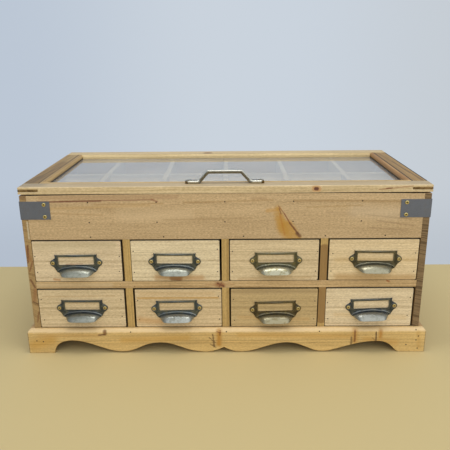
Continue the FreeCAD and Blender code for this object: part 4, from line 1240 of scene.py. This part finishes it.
# ------------------------------------------------------------------ boards and beads
# Each board, the rounding of its edges in millimetres, its grain, tone and other looks
BOARDS = [
    ("left_side_panel", 0.8, "Y", (166, 138, 93),
     dict(end_tone=0.95, spread=0.8, spots=LEFT_SIDE_SPOTS)),
    ("right_side_panel", 0.8, "Y", (154, 127, 90),
     dict(end_tone=0.55, rings=0.45, end_rings=1.4, spacing=3.6, heart=(40, -190))),
    ("back_panel", 0.6, "X", (180, 152, 110), {}),
    ("front_panel", 0.3, "X", (193, 168, 130),
     dict(heart=(-260, -40), spacing=5.0, rings=0.2, speckle=1.5, patches=0.4, gap_shade_depth=1.0,
          spots=PANEL_SPOTS + pin_dirt(FRONT_Y))),
    ("tray_floor", 0.3, "X", (176, 150, 110), {}),
    ("drawer_shelf", 0.4, "X", (194, 166, 122), dict(spots=SHELF_SPOTS, gap_shade_depth=1.0)),
    ("base_panel", 0.6, "X", (184, 154, 106), dict(gap_shade_depth=1.0)),
    ("drawer_dividers", 0.5, "Z", (185, 156, 98), dict(spots=UPRIGHT_SPOTS, gap_shade_depth=1.0)),
    ("plinth_front", 1.0, "X", (202, 172, 112),
     dict(patches=0.9, rings=0.6, fibre=1.1, spacing=4.0,
          spots=PLINTH_SPOTS + pin_dirt(PLINTH_Y))),
    ("plinth_left", 1.0, "Y", (180, 146, 94), {}),
    ("plinth_right", 1.0, "Y", (180, 146, 94), {}),
    ("tray_long_divider", 0.6, "X", (172, 153, 120), dict(spots=divider_painted_light())),
    ("tray_cross_dividers", 0.6, "Y", (172, 153, 120), {}),
    ("lid_front_rail", 1.1, "X", (207, 187, 148),
     dict(heart=(-90, -60), gloss=0.35, spots=FRONT_RAIL_SPOTS)),
    ("lid_back_rail", 1.1, "X", (193, 171, 129),
     dict(heart=(90, -60), gloss=0.3, spots=BACK_RAIL_SPOTS)),
    ("lid_left_rail", 1.0, "Y", (144, 118, 76),
     dict(rings=0.8, heart=(70, -40), spacing=5.0, fibre=1.1, gloss=0.2, spots=LEFT_RAIL_SPOTS)),
    ("lid_right_rail", 1.0, "Y", (150, 121, 76),
     dict(rings=0.8, heart=(-60, -50), spacing=5.0, fibre=1.1, gloss=0.2,
          spots=RIGHT_RAIL_SPOTS))]
DRAWER_TONES = [(215, 197, 165), (219, 204, 171), (209, 190, 154), (218, 198, 160),
                (208, 189, 153), (208, 187, 149), (189, 166, 121), (218, 201, 168)]
# Way that each glazing bead is turned in degrees, and its tone
BEADS = {"front": (0, (184, 158, 112)), "right": (90, (156, 118, 72)),
         "back": (180, (202, 181, 137)), "left": (270, (168, 141, 95))}
BEAD_W, BEAD_FLAT = 6.8, 2.2
BEAD_EDGE_H = 2.4  # upright edge on the glass


def make_boards():
    for seed, (node, ease, grain, tone, look) in enumerate(BOARDS):
        wood = pine(node + "_pine", middle_of(node), tone, grain, seed=seed, **look)
        board(node, ease, wood, crisp_foot=node == "lid_front_rail")
    for i, tone, pins, spots in zip(DRAWERS, DRAWER_TONES, DRAWER_PINS, DRAWER_SPOTS):
        node = f"drawer_{i}_front"
        spots = marks(on_front, *dots(pins, 1.1, (30, 22, 16), 1.0, 0.4, 0.0), *spots)
        # Painted shade in the gaps round each drawer front, weaker than on the boards.
        drawer_front(i, pine(node + "_pine", middle_of(node), tone, seed=20 + i, spots=spots,
                             gap_shade_depth=1.0, gap_shade=0.6))
        drawer_box(i)


def bead_section(height):
    """Across a bead, from the rail to the glass: how far in, and how high over the glass."""
    points = [(0.05, 0.0), (0.05, height - 0.6), (0.25, height - 0.2), (0.7, height)]
    for k in range(9):
        angle = math.pi / 2 * k / 8
        points.append((BEAD_FLAT + (BEAD_W - BEAD_FLAT) * math.sin(angle),
                       BEAD_EDGE_H + (height - BEAD_EDGE_H) * math.cos(angle)))
    return points + [(BEAD_W, 0.3), (BEAD_W - 0.2, 0.0)]


def make_beads():
    """Four mitred beads, each made as the front one and then turned."""
    node = "lid_glass_beads"
    low, high = (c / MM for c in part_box(node))
    half = (high - low) / 2
    section = bead_section(high.z - low.z)
    for k, (side, (turn, tone)) in enumerate(BEADS.items()):
        sideways = turn % 180 == 90
        length, reach = (half.y, half.x) if sideways else (half.x, half.y)
        bm = bmesh.new()
        ends = [[bm.verts.new((end * (length - a), a - reach, h)) for a, h in section]
                for end in (-1, 1)]
        add_skin(bm, ends, rings=True, capped=True)
        put(bm, on_foot_of(node) @ Matrix.Rotation(math.radians(turn), 4, "Z"))
        wood = pine(f"bead_{side}_pine", middle_of(node), tone, "Y" if sideways else "X",
                    gloss=0.25, spots=BEAD_SPOTS.get(side, ()), seed=60 + k)
        piece(f"lid_bead_{side}", bm, wood, node, smooth_angle=32)


SCENE.view_settings.view_transform = "Standard"
make_camera()
make_stage()
make_light()
make_boards()
make_pulls()
make_handle()
make_brackets()
make_hinges_and_pins()
paint("lid_glass", make_glass())
make_beads()
